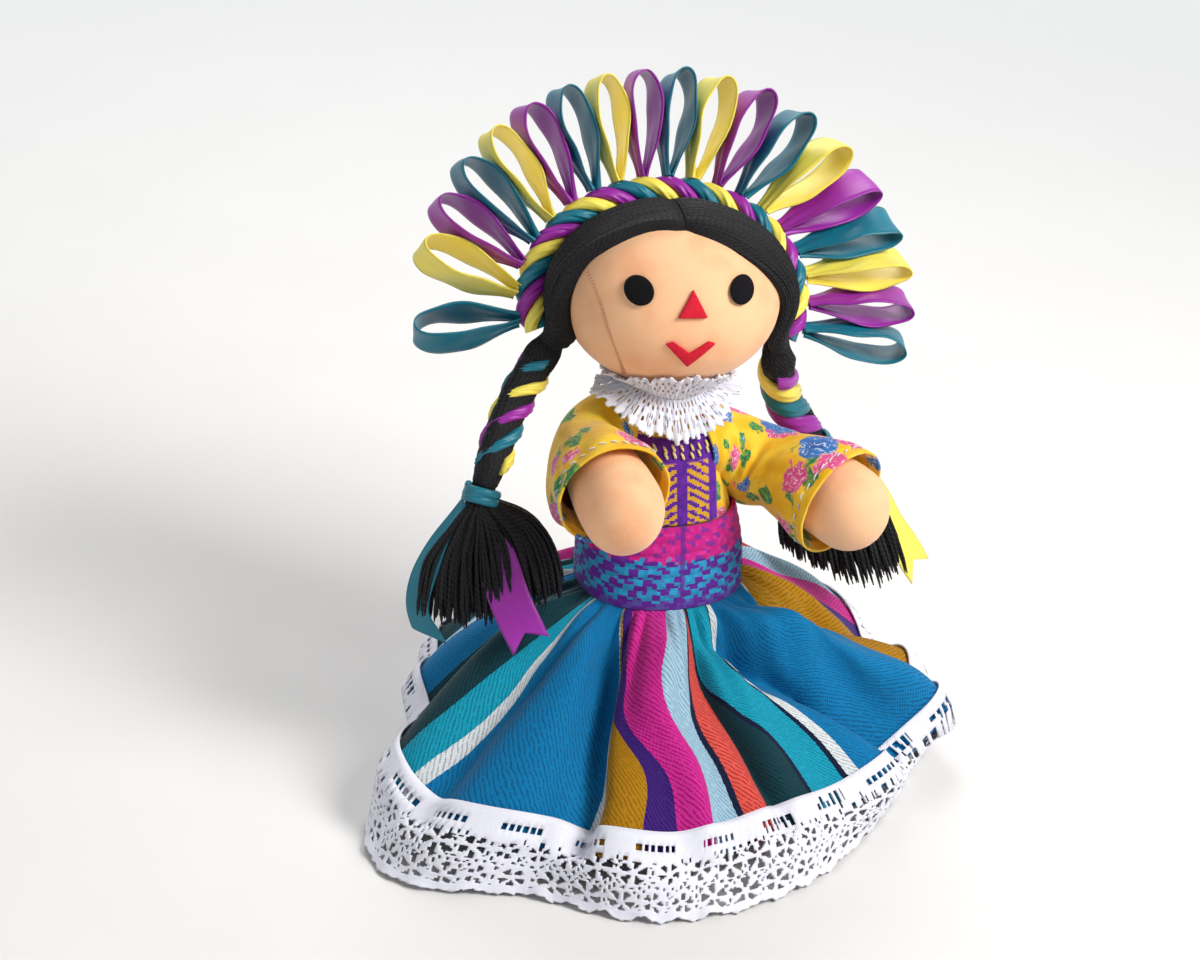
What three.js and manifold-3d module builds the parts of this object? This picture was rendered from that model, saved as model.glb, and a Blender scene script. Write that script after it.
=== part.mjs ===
// A traditional rag doll, seated, with plaits, a ribbon headdress and a gathered skirt.
// Millimetres and degrees. X runs to the doll's left, the doll faces -Y and Z is up.
// The origin is the middle of the flat seat, on the surface that the doll sits on.

import * as THREE from 'three';
import { mergeVertices } from 'three/addons/utils/BufferGeometryUtils.js';
import Module from 'manifold-3d';

const wasm = await Module();
wasm.setup();

// Free space between pieces of cloth that touch, and the cloths' thicknesses
const CLEAR = 0.3;
const CLOTH = 0.9;
const FELT = 0.9;
const RIBBON_THICK = 0.5;
const LACE_THICK = 0.6;

// Stuffed body: height above the seat, half width and half depth
const BODY = [
  { z: 0, w: 17.5, d: 14.5 },
  { z: 8, w: 20, d: 16 },
  { z: 24, w: 19.5, d: 16.5 },
  { z: 40, w: 17.6, d: 15 },
  { z: 56, w: 16.8, d: 14.3 },
  { z: 70, w: 13.8, d: 12.5 },
  { z: 80, w: 11, d: 10.8 },
  { z: 90, w: 7.8, d: 7.8 },
];
const BODY_SQUARENESS = 2.3;
const NECK_RADIUS = 7;
const NECK_IN_HEAD = 3.5;

// Head: half sizes, centre, and how it leans back, tilts and turns on the neck
const HEAD_W = 25.6;
const HEAD_D = 21.5;
const HEAD_H = 20.8;
const HEAD_CENTRE = new THREE.Vector3(-1, 6, 117);
const HEAD_LEAN = -8;
const HEAD_TILT = 2;
const HEAD_TURN = -7;

// Yarn hair over the head, and the arch where the face shows
const HAIR_SIDE = 4;
const HAIR_TOP = 1.8;
const HAIR_BACK = 3;
const FACE_ARCH_W = 25;
const FACE_ARCH_H = 19;
const HAIR_BELOW = 12.5;

// Felt features
const EYE_RADIUS = 3.9;
const EYE_SIDEWAYS = 36.5;
const EYE_HEIGHT = 6.9;
const NOSE_W = 3.5;
const NOSE_TOP = 7.8;
const NOSE_BOTTOM = 1.4;
const MOUTH_W = 5.9;
const MOUTH_TOP = -4.3;
const MOUTH_NOTCH = -7.3;
const MOUTH_BOTTOM = -11.2;

// Headband: three ribbons twisted into a rope, and the loops that stand on it
const BAND_LEAN = 20;
const BAND_BACK = 8;
const BAND_FROM = -22;
const BAND_TO = 196;
const BAND_SEAT = 0.6;
const STRAND_RADIUS = 1.05;
const STRAND_OFFSET = 1.75;
const ROPE_TURNS = 6.6;
const LOOP_LENGTH = 25;
const LOOP_FOOT = 4.6;
const LOOP_MARGIN = 3;
const RIBBON_WIDTH = 10;
// Each loop's direction in the plane of the band, its twist and its opening,
// from the doll's left over the top to the right
const LOOPS = [
  [-10, 28, 6], [-2, 30, 5.6], [6, 34, 5.2], [14, 40, 5], [25, 40, 5.4], [38, 26, 6.6], [51, 16, 6.8],
  [63, 12, 6.8], [73, 10, 6.6], [82, 8, 6.4], [90, 7, 6.4], [98, 8, 6.4], [107, 9, 6.6], [116, 10, 6.8],
  [125, 11, 6.8], [134, 13, 6.8], [144, 15, 6.8], [155, 18, 6.8], [186, 24, 7],
];

// Clothes
const SASH_BOTTOM = 45;
const SASH_TOP = 66;
const SASH_THICK = 1.2;
const BLOUSE_TOP = 88;
const PANEL_W = 9.3;
const PANEL_TOP = 87;
const PANEL_THICK = 0.8;
const COLLAR_BOTTOM = 90.6;
const COLLAR_TOP = 96.6;
const COLLAR_REACH = 13.7;
const COLLAR_UPPER_REACH = 12;
const COLLAR_GAP = 1.2;
const COLLAR_WAVES = 11;
const COLLAR_WAVE = 0.8;

// Skirt and lace hem: azimuth seen from above, and how far out the cloth's edge
// and the lace's edge lie there
const HEM = [
  { azimuth: -178, cloth: 66, lace: 66 },
  { azimuth: -162, cloth: 77, lace: 86 },
  { azimuth: -149, cloth: 80, lace: 92 },
  { azimuth: -130, cloth: 71, lace: 79 },
  { azimuth: -108, cloth: 71, lace: 81 },
  { azimuth: -82, cloth: 63, lace: 74 },
  { azimuth: -58, cloth: 63, lace: 66 },
  { azimuth: -35, cloth: 65, lace: 64 },
  { azimuth: -12, cloth: 70, lace: 68 },
  { azimuth: 15, cloth: 67, lace: 66 },
  { azimuth: 60, cloth: 63, lace: 66 },
  { azimuth: 110, cloth: 62, lace: 66 },
  { azimuth: 150, cloth: 60, lace: 63 },
];
const SKIRT_CLOTH = 1;
const SKIRT_EDGE_Z = 9;
const LACE_OVERLAP = 0.09;
// How the cloth falls: share of the way out, and share of the drop that is left
const SKIRT_FALL = [
  { out: 0, left: 1 }, { out: 0.2, left: 0.86 }, { out: 0.45, left: 0.62 },
  { out: 0.7, left: 0.36 }, { out: 0.88, left: 0.15 }, { out: 1, left: 0 },
];
const FOLDS = 13;
const FOLD_DEPTH = 4;

// Arms and sleeves
const ARM_RADIUS = 7.4;
const HAND_RADIUS = 10.8;
const HAND_FLAT = 0.95;
const SLEEVE_FLARE = 1.6;
const SLEEVE_END = 0.8;
// Height of each shoulder, and where the hand lies from it
const ARMS = {
  right: { z: 84, reach: new THREE.Vector3(-1, -34, 0.8) },
  left: { z: 80, reach: new THREE.Vector3(15, -27, -3.5) },
};

// Legs, hidden under the skirt
const LEG_X = 9.5;
const LEG_RADIUS = 6.6;
const ANKLE_RADIUS = 5.2;
const LEG_LENGTH = 28;

// Plaits, ribbon tails and tassels; the routes start beside the hair
const PLAIT_RADIUS = 4.7;
const PLAIT_PITCH = 21;
const PLAIT_BAND = 4.8;
const PLAIT_BAND_FROM = 0.03;
const PLAIT_OUT = 0.9;
const TIE_RADIUS = 4.5;
const TIE_HEIGHT = 3.6;
const TASSEL_NECK = 3.2;
const TASSEL_DEPTH = 6;
const TAIL_WIDTH = 9;
const PLAITS = {
  right: {
    route: [[0, 0, 0], [-6.5, -4, -6.5], [-12, -8.5, -14], [-15.5, -12, -22]],
    tassel: [[1, -2, -14], [2.5, -5, -33]],
    halfWidth: 18,
    tails: {
      teal: [[-6, 0, -3], [-13, -1, -14], [-20, -2, -30], [-18, -3, -41]],
      purple: [[2, -6, -4], [4, -11, -14], [7, -15, -27], [10, -17, -38]],
    },
  },
  left: {
    route: [[0, 0, 0], [5, 6.5, -7], [9.5, 10.5, -16], [14, 11, -25]],
    tassel: [[4, -1, -11], [10, -3, -29]],
    halfWidth: 15.5,
    tails: {
      yellow: [[5, 2.2, -2], [13.4, 7.6, -9.6], [24, 8, -22], [33, 6, -35]],
      teal: [[-0.6, 5, -3.2], [2.5, 8, -13], [7, 8, -25], [12, 7, -37]],
    },
  },
};

// Colours, as the cloth looks in daylight
const FLESH = 0xf2b98e;
const BLACK_YARN = 0x1f2024;
const BLACK_FELT = 0x1c1a1c;
const RED_FELT = 0xd8323f;
const TEAL = 0x1d6a78;
const YELLOW = 0xe6cf4a;
const PURPLE = 0x8a2a8c;
const MARIGOLD = 0xeab414;
const WOVEN_PURPLE = 0x6b2aa2;
const SASH_BLUE = 0x2b62b4;
const SKIRT_BLUE = 0x0f73a9;
const LACE_WHITE = 0xe9ecf5;
const RIBBONS = [['teal', TEAL], ['yellow', YELLOW], ['purple', PURPLE]];

const doll = new THREE.Group();
doll.name = 'rag_doll';

const rad = THREE.MathUtils.degToRad;
const lerp = THREE.MathUtils.lerp;

// Ease from 0 to 1 as x goes from a to b
const ease = (x, a, b) => THREE.MathUtils.smoothstep(x, a, b);

function addTo(group, name, geometry, color, roughness = 0.9) {
  const material = new THREE.MeshStandardMaterial({ color, roughness, metalness: 0 });
  const mesh = new THREE.Mesh(geometry, material);
  mesh.name = name;
  group.add(mesh);
  return mesh;
}

// Body made by joining rings of points, each with the same count.
// Closed rings join the last ring to the first; otherwise both ends are capped.
function skinRings(rings, closed = false) {
  const count = rings[0].length;
  const positions = [];
  const faces = [];
  for (const ring of rings) {
    for (const p of ring) positions.push(p.x, p.y, p.z);
  }
  const last = closed ? rings.length : rings.length - 1;
  for (let i = 0; i < last; i++) {
    const here = i * count;
    const next = ((i + 1) % rings.length) * count;
    for (let j = 0; j < count; j++) {
      const k = (j + 1) % count;
      faces.push(here + j, here + k, next + k, here + j, next + k, next + j);
    }
  }
  if (!closed) {
    for (const [index, flip] of [[0, true], [rings.length - 1, false]]) {
      const centre = new THREE.Vector3();
      for (const p of rings[index]) centre.addScaledVector(p, 1 / count);
      const hub = positions.length / 3;
      positions.push(centre.x, centre.y, centre.z);
      for (let j = 0; j < count; j++) {
        const a = index * count + j;
        const b = index * count + ((j + 1) % count);
        faces.push(...(flip ? [hub, b, a] : [hub, a, b]));
      }
    }
  }
  return facingOut(positions, faces);
}

// Turns the faces round where they enclose a negative volume
function facingOut(positions, faces) {
  const at = (i) => new THREE.Vector3(...positions.slice(3 * i, 3 * i + 3));
  let volume = 0;
  for (let i = 0; i < faces.length; i += 3) {
    volume += at(faces[i]).dot(at(faces[i + 1]).cross(at(faces[i + 2])));
  }
  const index = volume > 0 ? faces : faces.slice().reverse();
  const geometry = new THREE.BufferGeometry();
  geometry.setAttribute('position', new THREE.Float32BufferAttribute(positions, 3));
  geometry.setIndex(index);
  geometry.computeVertexNormals();
  return geometry;
}

function toSolid(geometry) {
  const bare = geometry.clone();
  for (const name of Object.keys(bare.attributes)) {
    if (name !== 'position') bare.deleteAttribute(name);
  }
  const merged = mergeVertices(bare, 1e-4);
  return new wasm.Manifold(new wasm.Mesh({
    numProp: 3,
    vertProperties: new Float32Array(merged.attributes.position.array),
    triVerts: new Uint32Array(merged.index.array),
  }));
}

function toGeometry(solid) {
  const mesh = solid.getMesh();
  const geometry = new THREE.BufferGeometry();
  geometry.setAttribute('position', new THREE.Float32BufferAttribute(mesh.vertProperties, 3));
  geometry.setIndex(Array.from(mesh.triVerts));
  geometry.computeVertexNormals();
  return geometry;
}

// Value of a field between stations, by a smooth curve through them
function between(stations, key, field, x) {
  const last = stations.length - 1;
  let i = 0;
  while (i < last - 1 && x > stations[i + 1][key]) i++;
  const slope = (k) => {
    const a = stations[Math.max(k - 1, 0)];
    const b = stations[Math.min(k + 1, last)];
    return (b[field] - a[field]) / (b[key] - a[key]);
  };
  const span = stations[i + 1][key] - stations[i][key];
  const t = THREE.MathUtils.clamp((x - stations[i][key]) / span, 0, 1);
  const rise = stations[i + 1][field] - stations[i][field];
  const m0 = slope(i) * span;
  const m1 = slope(i + 1) * span;
  return stations[i][field] + t * (m0 + t * (3 * rise - 2 * m0 - m1 + t * (m0 + m1 - 2 * rise)));
}

// Ring of points in the plane of u and v, rounded towards a rectangle by the power
function ringAt(centre, u, v, halfU, halfV, count, power = 2) {
  const ring = [];
  for (let j = 0; j < count; j++) {
    const a = (2 * Math.PI * j) / count;
    const c = Math.cos(a);
    const s = Math.sin(a);
    const x = halfU * Math.sign(c) * Math.abs(c) ** (2 / power);
    const y = halfV * Math.sign(s) * Math.abs(s) ** (2 / power);
    ring.push(centre.clone().addScaledVector(u, x).addScaledVector(v, y));
  }
  return ring;
}

// Frame of the head, and the line that the body follows up to the neck
const headFrame = new THREE.Group();
headFrame.position.copy(HEAD_CENTRE);
headFrame.rotation.set(rad(HEAD_LEAN), rad(HEAD_TILT), rad(HEAD_TURN), 'XYZ');
headFrame.updateMatrix();
doll.add(headFrame);
const X = new THREE.Vector3(1, 0, 0);
const Y = new THREE.Vector3(0, 1, 0);
const Z = new THREE.Vector3(0, 0, 1);
const headAxis = Z.clone().applyEuler(headFrame.rotation);
const neckPoint = HEAD_CENTRE.clone().addScaledVector(headAxis, -HEAD_H);

function bodyCentre(z) {
  return new THREE.Vector3(neckPoint.x, neckPoint.y, neckPoint.z).multiplyScalar(z / neckPoint.z);
}

// Section of the body, or of a layer that lies out from it by the given distance
function bodyRing(z, out, count = 28) {
  const w = between(BODY, 'z', 'w', z) + out;
  const d = between(BODY, 'z', 'd', z) + out;
  return ringAt(bodyCentre(z), X, Y, w, d, count, BODY_SQUARENESS);
}

// Sleeve of cloth round the body between two heights
function bodyShell(from, to, inner, outer, steps) {
  const rings = [];
  for (let i = 0; i <= steps; i++) rings.push(bodyRing(lerp(from, to, i / steps), outer));
  for (let i = steps; i >= 0; i--) rings.push(bodyRing(lerp(from, to, i / steps), inner));
  return skinRings(rings, true);
}

// Layers round the body, from the inside out
const LAYER_IN = CLEAR + 0.15;
const BLOUSE_OUT = LAYER_IN + CLOTH;
const SASH_IN = LAYER_IN + Math.max(CLOTH, SKIRT_CLOTH) + CLEAR;
const SASH_OUT = SASH_IN + SASH_THICK;
const PANEL_IN = BLOUSE_OUT + CLEAR;
const PANEL_OUT = PANEL_IN + PANEL_THICK;

// Stuffed body with its neck, flat where it sits
function makeBody() {
  const top = BODY[BODY.length - 1].z;
  const rings = [];
  const steps = 13;
  for (let i = 0; i <= steps; i++) rings.push(bodyRing(top * Math.sin((Math.PI / 2) * (i / steps)), 0));
  const neckEnd = neckPoint.clone().addScaledVector(headAxis, NECK_IN_HEAD);
  const neckFoot = bodyCentre(top - NECK_RADIUS);
  const across = new THREE.Quaternion().setFromUnitVectors(Z, headAxis);
  const u = X.clone().applyQuaternion(across);
  const v = Y.clone().applyQuaternion(across);
  const foot = neckEnd.clone().addScaledVector(headAxis, -neckEnd.distanceTo(neckFoot));
  const neck = skinRings([foot, neckEnd].map((p) => ringAt(p, u, v, NECK_RADIUS, NECK_RADIUS, 20)));
  addTo(doll, 'torso', toGeometry(toSolid(skinRings(rings)).add(toSolid(neck))), FLESH);
}

function makeBlouse() {
  const bottom = SASH_BOTTOM + 3;
  addTo(doll, 'blouse_body', bodyShell(bottom, BLOUSE_TOP, LAYER_IN, BLOUSE_OUT, 7), MARIGOLD, 0.6);
  addTo(doll, 'waist_sash', bodyShell(SASH_BOTTOM, SASH_TOP, SASH_IN, SASH_OUT, 2), SASH_BLUE);
  const layer = bodyShell(SASH_TOP + CLEAR, PANEL_TOP, PANEL_IN, PANEL_OUT, 5);
  const cutter = new THREE.BoxGeometry(2 * PANEL_W, 40, 200);
  cutter.translate(bodyCentre(PANEL_TOP).x / 2, -20, 0);
  const panel = toSolid(layer).intersect(toSolid(cutter));
  addTo(doll, 'front_panel', toGeometry(panel), WOVEN_PURPLE);
}

// Gathered lace frill round the neck: its section turns out below and above, in waves
function makeCollar() {
  const count = 44;
  const steps = 5;
  const waist = NECK_RADIUS + COLLAR_GAP;
  const height = COLLAR_TOP - COLLAR_BOTTOM;
  const section = new THREE.SplineCurve([
    new THREE.Vector2(COLLAR_REACH, COLLAR_BOTTOM),
    new THREE.Vector2(lerp(waist, COLLAR_REACH, 0.35), COLLAR_BOTTOM + 0.35 * height),
    new THREE.Vector2(waist, COLLAR_BOTTOM + 0.6 * height),
    new THREE.Vector2(lerp(waist, COLLAR_UPPER_REACH, 0.4), COLLAR_BOTTOM + 0.85 * height),
    new THREE.Vector2(COLLAR_UPPER_REACH, COLLAR_TOP),
  ]);
  const skin = (side) => Array.from({ length: steps + 1 }, (_, i) => {
    const { x: reach, y: z } = section.getPoint(i / steps);
    const heading = section.getTangent(i / steps);
    const r = reach + (side * heading.y * LACE_THICK) / 2;
    const level = z - (side * heading.x * LACE_THICK) / 2;
    const centre = bodyCentre(z);
    return Array.from({ length: count }, (_, j) => {
      const a = (2 * Math.PI * j) / count;
      const wave = COLLAR_WAVE * Math.cos(COLLAR_WAVES * a) * Math.abs(1 - (2 * i) / steps);
      return new THREE.Vector3(centre.x + r * Math.cos(a), centre.y + r * Math.sin(a), level + wave);
    });
  });
  addTo(doll, 'collar_lace', skinRings([...skin(1), ...skin(-1).reverse()], true), LACE_WHITE);
}

// Columns of the skirt and the hem: direction, and both edges' distance out
const HEM_COLUMNS = 60;
const turned = (station, turns) => ({ ...station, azimuth: station.azimuth + 360 * turns });
const hemStations = [turned(HEM[HEM.length - 1], -1), ...HEM, turned(HEM[0], 1), turned(HEM[1], 1)];
const hemColumns = Array.from({ length: HEM_COLUMNS }, (_, j) => {
  const azimuth = HEM[0].azimuth + (360 * j) / HEM_COLUMNS;
  return {
    angle: rad(azimuth),
    cloth: between(hemStations, 'azimuth', 'cloth', azimuth),
    lace: between(hemStations, 'azimuth', 'lace', azimuth),
  };
});

// Point on the body's section at a height, in a direction seen from its middle
function bodyEdge(z, angle, out) {
  const w = between(BODY, 'z', 'w', z) + out;
  const d = between(BODY, 'z', 'd', z) + out;
  const c = Math.cos(angle);
  const q = Math.sin(angle);
  const n = BODY_SQUARENESS;
  const r = ((Math.abs(c) / w) ** n + (Math.abs(q) / d) ** n) ** (-1 / n);
  return bodyCentre(z).add(new THREE.Vector3(r * c, r * q, 0));
}

// Inner face of the skirt: from the waist at 0 to the cloth's edge at 1 and the lace's at 2
function skirtPoint({ angle, cloth, lace }, s) {
  const waist = bodyEdge(SASH_BOTTOM, angle, LAYER_IN);
  const c = Math.cos(angle);
  const q = Math.sin(angle);
  const wave = 0.5 + 0.5 * Math.cos(FOLDS * angle + 1.3 * Math.sin(2 * angle));
  const fold = FOLD_DEPTH * wave * ease(s, 0, 0.9) * (1 - ease(s, 1.2, 2));
  const edge = new THREE.Vector3(cloth * c, cloth * q, SKIRT_EDGE_Z);
  if (s > 1) edge.lerp(new THREE.Vector3(lace * c, lace * q, 0), s - 1);
  else {
    edge.lerpVectors(waist, edge, s);
    edge.z = lerp(SKIRT_EDGE_Z, SASH_BOTTOM, between(SKIRT_FALL, 'out', 'left', s));
  }
  return edge.add(new THREE.Vector3(0.6 * fold * c, 0.6 * fold * q, 0.7 * fold * (1 - ease(s, 1, 2))));
}

// The same point lifted off the skirt's inner face by a distance
function skirtLifted(j, s, lift) {
  const n = HEM_COLUMNS;
  const step = 0.04;
  const down = skirtPoint(hemColumns[j], Math.min(s + step, 2));
  down.sub(skirtPoint(hemColumns[j], Math.max(s - step, 0)));
  const round = skirtPoint(hemColumns[(j + 1) % n], s).sub(skirtPoint(hemColumns[(j + n - 1) % n], s));
  const normal = down.cross(round).normalize();
  return skirtPoint(hemColumns[j], s).addScaledVector(normal, lift);
}

// Rings of a cloth over the skirt's inner face, out along its outside and back along its inside
function clothRings(rows, liftIn, liftOut) {
  const skin = (lift) => rows.map((s) => hemColumns.map((_, j) => skirtLifted(j, s, lift(s))));
  return skin(liftOut).concat(skin(liftIn).reverse());
}

// Skirt with its folds; its top edge is tucked behind the sash
function makeSkirt() {
  const rings = clothRings([0.06, 0.2, 0.4, 0.6, 0.8, 1], () => 0, () => SKIRT_CLOTH);
  const tuck = (z, out) => hemColumns.map(({ angle }) => bodyEdge(z, angle, LAYER_IN + out));
  const tuckFoot = SASH_BOTTOM - 0.6;
  const tuckTop = SASH_BOTTOM + 2;
  const outer = [tuck(tuckTop, SKIRT_CLOTH), tuck(tuckFoot, SKIRT_CLOTH)];
  const inner = [tuck(tuckFoot, 0), tuck(tuckTop, 0)];
  addTo(doll, 'skirt', skinRings([...outer, ...rings, ...inner], true), SKIRT_BLUE);
}

// Lace band over the cloth's edge, down to the surface
function makeHem() {
  const rows = [1 - LACE_OVERLAP, 1, 1.35, 1.7, 2];
  const under = (s) => (SKIRT_CLOTH + CLEAR + 0.1) * (1 - ease(s, 1, 2));
  const rings = clothRings(rows, under, (s) => under(s) + LACE_THICK);
  const low = Math.min(...rings.flat().map((p) => p.z));
  for (const p of rings.flat()) p.z -= low * ease(SKIRT_EDGE_Z - p.z, 0, SKIRT_EDGE_Z);
  addTo(doll, 'hem_lace', skinRings(rings, true), LACE_WHITE);
}

// Stuffed limb along a curve, with round ends; radius is a function of the share of its length
function limbRings(curve, radius, options) {
  const { from = 0, to = 1, steps = 7, count = 16, flat = 1, round = true, out = 0 } = options;
  const frame = (t) => {
    const along = curve.getTangent(t);
    const side = new THREE.Vector3().crossVectors(along, Z).normalize();
    return { along, side, up: new THREE.Vector3().crossVectors(side, along).normalize() };
  };
  const rings = [];
  const capAngles = [75, 48, 22];
  const ring = (t, shift, r) => {
    const f = frame(t);
    const centre = curve.getPoint(t).addScaledVector(f.along, shift);
    rings.push(ringAt(centre, f.side, f.up, r * flat, r / flat, count));
  };
  const startRadius = radius(from) + out;
  for (const a of capAngles.map(rad)) ring(from, -startRadius * Math.sin(a), startRadius * Math.cos(a));
  for (let i = 0; i <= steps; i++) {
    const t = lerp(from, to, i / steps);
    ring(t, 0, radius(t) + out);
  }
  if (round) {
    const endRadius = radius(to) + out;
    for (const a of capAngles.map(rad).reverse()) ring(to, endRadius * Math.sin(a), endRadius * Math.cos(a));
  }
  return rings;
}

const armRadius = (t) => lerp(ARM_RADIUS, HAND_RADIUS, ease(t, 0.1, 1));
const sleeveInside = (t) => armRadius(t) / HAND_FLAT + CLEAR + SLEEVE_FLARE * ease(t, 0, 1.15);

// Arm from its shoulder to the round hand, and the sleeve that closes over the shoulder
function makeArm(side, sign, { z, reach }) {
  const centre = bodyCentre(z);
  const seat = between(BODY, 'z', 'w', z) + BLOUSE_OUT + 2 * CLEAR;
  const x = centre.x + sign * (seat + sleeveInside(0) + CLOTH);
  const shoulder = new THREE.Vector3(x, centre.y, z);
  const hand = shoulder.clone().add(reach);
  const middle = shoulder.clone().addScaledVector(reach, 0.45).add(new THREE.Vector3(sign * 1.2, 0, 2));
  const curve = new THREE.QuadraticBezierCurve3(shoulder, middle, hand);
  addTo(doll, `arm_${side}`, skinRings(limbRings(curve, armRadius, { flat: HAND_FLAT })), FLESH);
  const part = { to: SLEEVE_END, steps: 5, round: false };
  const outside = limbRings(curve, sleeveInside, { ...part, out: CLOTH });
  const inside = limbRings(curve, sleeveInside, part).reverse();
  addTo(doll, `sleeve_${side}`, skinRings([...outside, ...inside]), MARIGOLD, 0.6);
}

function makeLeg(side, sign) {
  const z = LEG_RADIUS + CLEAR;
  const share = 1 - (LEG_X / between(BODY, 'z', 'w', z)) ** BODY_SQUARENESS;
  const front = between(BODY, 'z', 'd', z) * share ** (1 / BODY_SQUARENESS);
  const hip = new THREE.Vector3(sign * LEG_X, -(front + 2 * CLEAR + LEG_RADIUS), z);
  const ankle = new THREE.Vector3(sign * (LEG_X + 1.5), hip.y - LEG_LENGTH, ANKLE_RADIUS + CLEAR);
  const curve = new THREE.LineCurve3(hip, ankle);
  const radius = (t) => lerp(LEG_RADIUS, ANKLE_RADIUS, t);
  addTo(doll, `leg_${side}`, skinRings(limbRings(curve, radius, { steps: 4, count: 14 })), FLESH);
}

// Head-shaped ball, larger than the head by the given amounts
function headBall(side, back, top, across = 28, down = 18) {
  const ball = new THREE.SphereGeometry(1, across, down);
  ball.rotateX(Math.PI / 2);
  ball.scale(HEAD_W + side, HEAD_D + back, HEAD_H + top);
  return toSolid(ball);
}

function cylinder(radius, height, count = 20) {
  const geometry = new THREE.CylinderGeometry(radius, radius, height, count);
  geometry.rotateX(Math.PI / 2);
  return geometry;
}

function makeHead() {
  const socket = cylinder(NECK_RADIUS + CLEAR, 2 * HEAD_H);
  socket.translate(0, 0, NECK_IN_HEAD + CLEAR - 2 * HEAD_H);
  const head = headBall(0, 0, 0).subtract(toSolid(socket));
  addTo(headFrame, 'head', toGeometry(head), FLESH);
}

const hairOut = { side: CLEAR + HAIR_SIDE, back: CLEAR + HAIR_BACK, top: CLEAR + HAIR_TOP };

// Prism with the given outline in X and Z, through the front of the head
function frontPrism(shape, back = 0) {
  const depth = HEAD_D + 20;
  const geometry = new THREE.ExtrudeGeometry(shape, { depth, bevelEnabled: false, curveSegments: 20 });
  geometry.rotateX(Math.PI / 2);
  geometry.translate(0, back, 0);
  return toSolid(geometry);
}

// Hair in one layer over the head, open where the face shows and cut off at the nape
function makeHair() {
  const arch = new THREE.Shape();
  arch.moveTo(FACE_ARCH_W, -2 * HEAD_H);
  arch.lineTo(FACE_ARCH_W, 0);
  arch.absellipse(0, 0, FACE_ARCH_W, FACE_ARCH_H, 0, Math.PI, false);
  arch.lineTo(-FACE_ARCH_W, -2 * HEAD_H);
  const below = new THREE.BoxGeometry(4 * HEAD_W, 4 * HEAD_D, 2 * HEAD_H);
  below.translate(0, 0, -HAIR_BELOW - HEAD_H);
  const hair = headBall(hairOut.side, hairOut.back, hairOut.top)
    .subtract(headBall(CLEAR, CLEAR, CLEAR))
    .subtract(frontPrism(arch))
    .subtract(toSolid(below));
  addTo(headFrame, 'hair', toGeometry(hair), BLACK_YARN);
}

// Felt pieces lie on the face: an outline cut out of a thin layer over the head
function makeFace() {
  const fineBall = (out) => headBall(out, out, out, 48, 32);
  const felt = fineBall(CLEAR + FELT).subtract(fineBall(CLEAR));
  for (const [side, sign] of [['right', -1], ['left', 1]]) {
    const level = Math.sqrt(1 - (EYE_HEIGHT / HEAD_H) ** 2);
    const x = sign * HEAD_W * level * Math.sin(rad(EYE_SIDEWAYS)) * HEAD_D / HEAD_W;
    const y = -HEAD_D * Math.sqrt(level ** 2 - (x / HEAD_W) ** 2);
    const normal = new THREE.Vector3(x / HEAD_W ** 2, y / HEAD_D ** 2, EYE_HEIGHT / HEAD_H ** 2).normalize();
    const punch = cylinder(EYE_RADIUS, 8, 24);
    punch.applyQuaternion(new THREE.Quaternion().setFromUnitVectors(Z, normal));
    punch.translate(x, y, EYE_HEIGHT);
    addTo(headFrame, `eye_${side}`, toGeometry(felt.intersect(toSolid(punch))), BLACK_FELT);
  }
  const nose = new THREE.Shape();
  nose.moveTo(-NOSE_W, NOSE_BOTTOM);
  nose.lineTo(NOSE_W, NOSE_BOTTOM);
  nose.lineTo(0, NOSE_TOP);
  addTo(headFrame, 'nose', toGeometry(felt.intersect(frontPrism(nose))), RED_FELT);
  const mouth = new THREE.Shape();
  const lip = MOUTH_W * 0.7;
  mouth.moveTo(0, MOUTH_BOTTOM);
  mouth.lineTo(MOUTH_W, MOUTH_TOP - 0.7);
  mouth.lineTo(lip, MOUTH_TOP);
  mouth.lineTo(0, MOUTH_NOTCH);
  mouth.lineTo(-lip, MOUTH_TOP);
  mouth.lineTo(-MOUTH_W, MOUTH_TOP - 0.7);
  addTo(headFrame, 'mouth', toGeometry(felt.intersect(frontPrism(mouth))), RED_FELT);
}

// Plane of the headband, in the head's frame: up leans back, and it lies behind the middle
const bandUp = new THREE.Vector3(0, Math.sin(rad(BAND_LEAN)), Math.cos(rad(BAND_LEAN)));
const bandBack = new THREE.Vector3(0, Math.cos(rad(BAND_LEAN)), -Math.sin(rad(BAND_LEAN)));
const hairHalf = { w: HEAD_W + hairOut.side, d: HEAD_D + hairOut.back, h: HEAD_H + hairOut.top };
const bandReach = Math.hypot(hairHalf.d * bandBack.y, hairHalf.h * bandBack.z);
const bandShare = Math.sqrt(1 - (BAND_BACK / bandReach) ** 2);
const ropeRadius = STRAND_OFFSET + STRAND_RADIUS;
const ropeOut = BAND_SEAT + ropeRadius;
const bandHalfW = hairHalf.w * bandShare + ropeOut;
const bandHalfH = ((hairHalf.d * hairHalf.h) / bandReach) * bandShare + ropeOut;

// The band's line, from the doll's left over the top, by its length
const bandLine = new THREE.EllipseCurve(0, 0, bandHalfW, bandHalfH, rad(BAND_FROM), rad(BAND_TO));
const bandLength = bandLine.getLength();

// Point, tangent and outward direction of the band at a share of its length
function bandAt(share) {
  const inPlane = (v) => new THREE.Vector3().addScaledVector(X, v.x).addScaledVector(bandUp, v.y);
  const along = inPlane(bandLine.getTangentAt(share));
  const point = inPlane(bandLine.getPointAt(share)).addScaledVector(bandBack, BAND_BACK);
  return { point, along, outward: new THREE.Vector3().crossVectors(bandBack, along) };
}

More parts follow.
